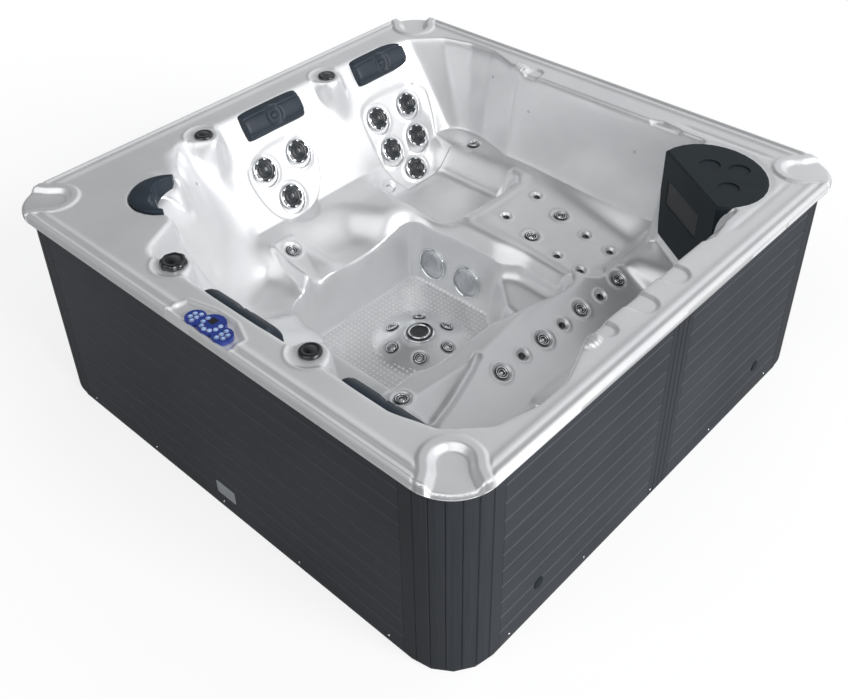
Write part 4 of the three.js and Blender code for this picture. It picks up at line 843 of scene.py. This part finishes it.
def air_holes():
    """Black cups at the bottom of the dimples: painted shade inside the air holes."""
    bm = bmesh.new()
    for place, normal, radius in DIMPLES:
        throat = bmesh.new()
        spin(throat, [
            (0.0, -0.0090), (radius * 0.50, -0.0086), (radius * 0.66, -0.0062), (radius * 0.70, -0.0070),
        ], 32, 0)
        put(throat, standing(place, normal))
        add(bm, throat)
    bmesh.ops.recalc_face_normals(bm, faces=bm.faces)
    # The cups' black stands in for the shade inside the holes.
    piece("air_hole_throats", bm, [JET_BLACK], "tub")


air_holes()

# Where each wall pip is sought: a start over the water, its level, and the way out to the wall.
PIPS = [
    (-0.828, 0.800, 0.684, 0, 1), (-0.496, 0.800, 0.755, 0, 1), (-0.238, 0.800, 0.698, 0, 1),
    (0.308, 0.800, 0.706, 0, 1), (-0.760, 0.317, 0.671, -1, 0), (-0.700, -0.442, 0.730, -1, 0),
]


def wall_pips():
    """Small round pips on the walls, each seated square to the face."""
    bm = bmesh.new()
    for x, y, level, out_x, out_y in PIPS:
        for _ in range(300):
            if at_point(heights, x, y) >= level:
                break
            x, y = x + 0.001 * out_x, y + 0.001 * out_y
        gx, gy = at_point(slope_x, x, y), at_point(slope_y, x, y)
        pip = bmesh.new()
        spin(pip, [
            (0.0, -0.002), (0.0070, -0.002), (0.0070, 0.0010), (0.0055, 0.0022), (0.0030, 0.0014),
            (0.0, 0.0018),
        ], 24, 0)
        put(pip, standing((x, y, level), (-gx, -gy, 1.0)))
        add(bm, pip)
    bmesh.ops.recalc_face_normals(bm, faces=bm.faces)
    piece("wall_pips", bm, [GRILLE], "tub")


wall_pips()


# Rim knobs

def knob(name, radius, height, lobes):
    """A knob's cap with a rounded shoulder and a shallow ring, scalloped if it has lobes."""
    bm = bmesh.new()
    spin(bm, [
        (0.0, 0.0005), (radius * 0.97, 0.0005), (radius, 0.003), (radius, height * 0.45),
        (radius * 0.96, height * 0.68), (radius * 0.86, height * 0.84), (radius * 0.7, height * 0.9),
        (radius * 0.62, height * 0.8), (radius * 0.5, height * 0.82), (radius * 0.3, height * 0.97),
        (0.0, height),
    ], 96, 0)
    for v in bm.verts:
        away = math.hypot(v.co.x, v.co.y)
        if lobes and away > radius * 0.6:
            share = (away / radius - 0.6) / 0.4
            swell = 1 - 0.09 * share * (0.5 - 0.5 * math.cos(lobes * math.atan2(v.co.y, v.co.x)))
            v.co.x *= swell
            v.co.y *= swell
    put(bm, Matrix.Translation((*KNOBS[name], PLATFORM)))
    piece(f"{name}_cap", bm, [BLACK], name, (name,))


knob("air_knob_1", 0.038, 0.013, 0)
knob("air_knob_2", 0.038, 0.013, 0)
knob("diverter_knob_1", 0.048, 0.0245, 8)
knob("diverter_knob_2", 0.038, 0.0175, 0)


# Head pillows

def wall_pillow(name, node, middle, turned):
    """A moulded roll for the nape: lengthwise creases, square ends, and a dish with an oval button."""
    half_length, half_width = 0.161, 0.066
    bm = bmesh.new()
    bmesh.ops.create_grid(bm, x_segments=96, y_segments=44, size=1.0)
    rim = [e for e in bm.edges if e.is_boundary]
    for v in bm.verts:
        a, b = v.co.x, v.co.y
        dome = (1 - abs(a) ** 24) ** 0.5 * (1 - abs(b) ** 2.6) ** 0.5
        crease = math.exp(-(((b - 0.52) / 0.05) ** 2)) + 0.8 * math.exp(-(((b + 0.60) / 0.05) ** 2))
        away = math.hypot(a * half_length, b * 0.058)
        dish = 1 - float(ease(0.030, 0.046, away))
        button = 1 - float(ease(0.75, 1.05, math.hypot(a * half_length / 0.019, b * 0.058 / 0.012)))
        tall = 0.046 * dome - 0.0032 * crease * (dome > 0.5) - 0.0085 * dish + 0.0070 * button
        pull = 1 - 0.05 * (1 - a * a) * (b < 0) * -b
        wide = b * half_width * pull * (1 - 0.10 * abs(a) ** 6)
        v.co = (a * half_length * (1 - 0.012 * b * b), wide, tall)
    made = bmesh.ops.extrude_edge_only(bm, edges=rim)["geom"]
    for v in (g for g in made if isinstance(g, bmesh.types.BMVert)):
        v.co.z = -0.006
    bmesh.ops.edgeloop_fill(bm, edges=[e for e in bm.edges if e.is_boundary])
    out = Vector((BACK[0], 0, BACK[2]))
    up = Vector((-BACK[2], 0, BACK[0]))
    side = Vector((0, 1, 0))
    on_wall = Matrix((side, up, out)).transposed().to_4x4()
    put(bm, Matrix.Translation((-0.9245, middle, 0.7977)) @ on_wall)
    if turned:
        # From the left wall to the front one: X and Y change places.
        put(bm, Matrix(((0, 1, 0, 0), (1, 0, 0, 0), (0, 0, 1, 0), (0, 0, 0, 1))))
    bmesh.ops.recalc_face_normals(bm, faces=bm.faces)
    made = piece(name, bm, [FOAM], "tub", (node,))


def corner_pillow():
    """The corner's crescent: its top narrows from the middle to the arms, its face drops to the water."""
    steps = 48
    bm = bmesh.new()
    ring, edges = [], []
    for i in range(5):
        ring.append(bm.verts.new((0, 0, i)))
    for i in range(5):
        edges.append(bm.edges.new((ring[i], ring[(i + 1) % 5])))

    def section(verts, share):
        angle = math.radians(225 + 97 * share)
        crease = 0.044 + 0.066 * abs(share) ** 1.3
        foot = crease - 0.012 - 0.004 * (1 - abs(share))
        drop = 0.788 + 0.034 * abs(share) ** 2
        radii = (0.127, (0.127 + crease) / 2, crease, foot, 0.122)
        levels = (0.8685, 0.8735, 0.8705, drop, drop + 0.010)
        for v, r, z in zip(verts, radii, levels):
            v.co = (NEST + r * math.cos(angle), NEST + r * math.sin(angle), z)

    section(ring, -1)
    first = edges
    for i in range(1, steps + 1):
        made = bmesh.ops.extrude_edge_only(bm, edges=edges)["geom"]
        moved = [g for g in made if isinstance(g, bmesh.types.BMVert)]
        edges = [g for g in made if isinstance(g, bmesh.types.BMEdge)]
        moved.sort(key=lambda v: next(
            ring.index(e.other_vert(v)) for e in v.link_edges if e.other_vert(v) in ring
        ))
        ring = moved
        section(ring, 2 * i / steps - 1)
    bmesh.ops.edgeloop_fill(bm, edges=first)
    bmesh.ops.edgeloop_fill(bm, edges=edges)
    bmesh.ops.recalc_face_normals(bm, faces=bm.faces)
    made = piece("corner_headrest", bm, [FOAM], "tub", ("corner_pillow",))
    bevelled(made, 0.005, 3, 35)


wall_pillow("left_seat_headrest", "left_seat_pillow", 0.0286, False)
wall_pillow("lounger_headrest", "lounger_pillow", 0.6677, False)
wall_pillow("front_seat_headrest", "front_seat_pillow", 0.0286, True)
wall_pillow("bench_headrest", "bench_pillow", 0.6677, True)
corner_pillow()


# Control panel's printed rings and keys

def key_tops():
    """Pale caps and white rings on the keys that are fixed, and rings round the four that press."""
    bm = bmesh.new()
    bm.from_mesh(nodes["control_panel"].data)
    tree = BVHTree.FromBMesh(bm)
    bm.free()
    arc = [math.radians(163 + 36 * i) for i in range(7)]
    dial = [(0.0473 + 0.032 * math.cos(a), -1.0428 + 0.032 * math.sin(a)) for a in arc]
    columns = [(x, -1.0548 + 0.019 * k) for x in (0.10855, -0.01395) for k in (-1, 0, 1)]
    outer = [(x, -1.0548 + 0.0095 * k) for x in (0.12755, -0.03295) for k in (-1, 1)]
    bm = bmesh.new()
    for i, (x, y) in enumerate(dial + columns + outer):
        top = tree.ray_cast(Vector((x, y, 1.0)), Vector((0, 0, -1)))[0]
        pressed = 3 <= i < 7
        ring_at = tree.ray_cast(Vector((x + 0.0075, y, 1.0)), Vector((0, 0, -1)))[0]
        rim = bmesh.new()
        spin(rim, [(0.0080, -0.0004), (0.0080, 0.0004), (0.0070, 0.0004), (0.0068, -0.0004)], 24, 1)
        put(rim, Matrix.Translation((x, y, ring_at.z)))
        if not pressed:
            spin_disc(rim, 0.0058, Vector((x, y, top.z)))
        add(bm, rim)
    piece("key_caps", bm, [KEYS, KEY_RIMS], "tub")


def spin_disc(bm, radius, place):
    """Adds a low round cap, softened at its edge."""
    made = bmesh.ops.create_circle(bm, cap_ends=True, segments=24, radius=radius)["verts"]
    face = made[0].link_faces[0]
    raised = bmesh.ops.extrude_face_region(bm, geom=[face])["geom"]
    for v in (g for g in raised if isinstance(g, bmesh.types.BMVert)):
        v.co = (v.co.x * 0.82, v.co.y * 0.82, 0.0007)
        made.append(v)
    bmesh.ops.translate(bm, verts=made, vec=place)


key_tops()


# Skirt's small fittings

def plate():
    """A bare plate, low on the front skirt."""
    bm = bmesh.new()
    form = Matrix.Translation((0.007, -1.0790, 0.100)) @ Matrix.Diagonal((0.100, 0.0016, 0.058, 1))
    bmesh.ops.create_cube(bm, size=1.0, matrix=form)
    upright = [e for e in bm.edges if abs((e.verts[0].co - e.verts[1].co).y) > 0.001]
    bmesh.ops.bevel(bm, geom=upright, offset=0.006, segments=4, profile=0.5, affect="EDGES", material=-1)
    made = piece("front_plate", bm, [PLATE], "tub", smooth=False)
    bevelled(made, 0.0004, 2)


def screws():
    """Pan-head screws along the skirt's lower edge, on all four sides."""
    bm = bmesh.new()
    for side in range(4):
        turn = Matrix.Rotation(side * math.pi / 2, 4, "Z")
        for along in (-0.82, -0.42, -0.02, 0.38, 0.80):
            made = bmesh.ops.create_uvsphere(bm, u_segments=16, v_segments=8, radius=1.0)["verts"]
            place = Matrix.Translation((SKIRT_FACE, along, 0.030))
            size = Matrix.Diagonal((0.0024, 0.0050, 0.0050, 1))
            bmesh.ops.transform(bm, matrix=turn @ place @ size, verts=made)
    piece("skirt_screws", bm, [CHROME], "tub")


plate()
screws()


# Carried-over solids

FINISHES = {
    "base_tray": WORKS, "support_frame": TIMBER, "right_panel_near": SLATE, "right_panel_far": SLATE,
    "right_joining_strip": STAVES, "back_panel": SLATE, "left_panel": SLATE, "front_panel": SLATE,
    "corner_panel_back_right": STAVES, "corner_panel_back_left": STAVES, "corner_panel_front_left": STAVES,
    "corner_panel_front_right": STAVES, "vent_plug_1": SATIN, "vent_plug_2": SATIN, "control_panel": BLUE,
    "display_window": GLASS, "key_1": KEYS, "key_2": KEYS, "key_3": KEYS, "key_4": KEYS,
    "console_housing": SATIN, "screen": GLASS, "pump_1": WORKS, "pump_2": WORKS, "air_blower": WORKS,
    "control_pack": WORKS, "supply_pipe": PIPE,
}
for name, one in FINISHES.items():
    nodes[name].data.materials.clear()
    nodes[name].data.materials.append(one)


# Floor and light

def studio():
    """A white floor that keeps the tub's shadow but throws little light back, under a soft uneven sky."""
    bm = bmesh.new()
    bmesh.ops.create_grid(bm, x_segments=1, y_segments=1, size=30)
    mesh = bpy.data.meshes.new("studio_floor")
    bm.to_mesh(mesh)
    bm.free()
    floor = bpy.data.objects.new("studio_floor", mesh)
    bpy.context.scene.collection.objects.link(floor)
    made, tree, shader, _ = material("white_floor")
    shader.inputs["Base Color"].default_value = (0.30, 0.30, 0.30, 1)
    shader.inputs["Roughness"].default_value = 0.9
    shader.inputs["Specular IOR Level"].default_value = 0.0
    paper = tree.nodes.new("ShaderNodeBsdfDiffuse")
    paper.inputs["Color"].default_value = (0.30, 0.30, 0.30, 1)
    glow = tree.nodes.new("ShaderNodeEmission")
    glow.inputs["Strength"].default_value = 0.75
    lit = tree.nodes.new("ShaderNodeAddShader")
    tree.links.new(paper.outputs["BSDF"], lit.inputs[0])
    tree.links.new(glow.outputs["Emission"], lit.inputs[1])
    path = tree.nodes.new("ShaderNodeLightPath")
    pick = tree.nodes.new("ShaderNodeMixShader")
    mirrored = math_node(tree, "MULTIPLY", path.outputs["Is Glossy Ray"], 0.14)
    seen = math_node(tree, "MAXIMUM", path.outputs["Is Camera Ray"], mirrored)
    tree.links.new(seen, pick.inputs["Fac"])
    tree.links.new(shader.outputs["BSDF"], pick.inputs[1])
    tree.links.new(lit.outputs["Shader"], pick.inputs[2])
    tree.links.new(pick.outputs["Shader"], tree.nodes["Material Output"].inputs["Surface"])
    mesh.materials.append(made)

    world = bpy.data.worlds.new("sky")
    bpy.context.scene.world = world
    world.use_nodes = True
    sky = world.node_tree
    axes = split_xyz(sky, sky.nodes.new("ShaderNodeTexCoord").outputs["Generated"])

    def along(*weights):
        """How far a direction of the sky points along a weighted sum of axes."""
        total = None
        for axis, weight in zip("XYZ", weights):
            if weight:
                term = math_node(sky, "MULTIPLY", axes[axis], weight)
                total = term if total is None else math_node(sky, "ADD", total, term)
        return total

    overhead = math_node(sky, "MULTIPLY", math_node(sky, "MAXIMUM", axes["Z"], 0.0), -0.13)
    level = math_node(sky, "ADD", overhead, 0.49)
    # Each patch of sky: its direction, where along it the patch starts and is whole, and what it adds.
    for weights, start, end, gain in (
        ((0.50, 0.85, 0.0), -0.18, 0.30, 0.34),
        ((-0.75, 0.25, 0.60), 0.50, 0.98, -0.26),
        ((0.0, 0.0, 1.0), 0.72, 0.93, -0.24),
        ((0.0, -1.0, -0.8), 0.05, 0.60, -0.34),
    ):
        level = math_node(sky, "ADD", level, eased_range(sky, along(*weights), start, end, 0.0, gain))
    back = sky.nodes["Background"]
    back.inputs["Color"].default_value = (0.96, 0.98, 1.0, 1)
    sky.links.new(level, back.inputs["Strength"])
    white = sky.nodes.new("ShaderNodeBackground")
    white.inputs["Color"].default_value = (1, 1, 1, 1)
    path = sky.nodes.new("ShaderNodeLightPath")
    pick = sky.nodes.new("ShaderNodeMixShader")
    sky.links.new(path.outputs["Is Camera Ray"], pick.inputs["Fac"])
    sky.links.new(back.outputs["Background"], pick.inputs[1])
    sky.links.new(white.outputs["Background"], pick.inputs[2])
    sky.links.new(pick.outputs["Shader"], sky.nodes["World Output"].inputs["Surface"])


def sun(name, direction, strength, spread_angle):
    lamp = bpy.data.lights.new(name, "SUN")
    lamp.energy = strength
    lamp.angle = math.radians(spread_angle)
    made = bpy.data.objects.new(name, lamp)
    made.rotation_mode = "QUATERNION"
    made.rotation_quaternion = Vector(direction).to_track_quat("-Z", "Y")
    bpy.context.scene.collection.objects.link(made)


studio()
# A lamp's irradiance over pi renders white as white.
sun("key", (-0.91, -0.10, -0.40), 0.71 * math.pi, 34)
sun("fill", (-0.10, 0.70, -0.70), 0.28 * math.pi, 60)
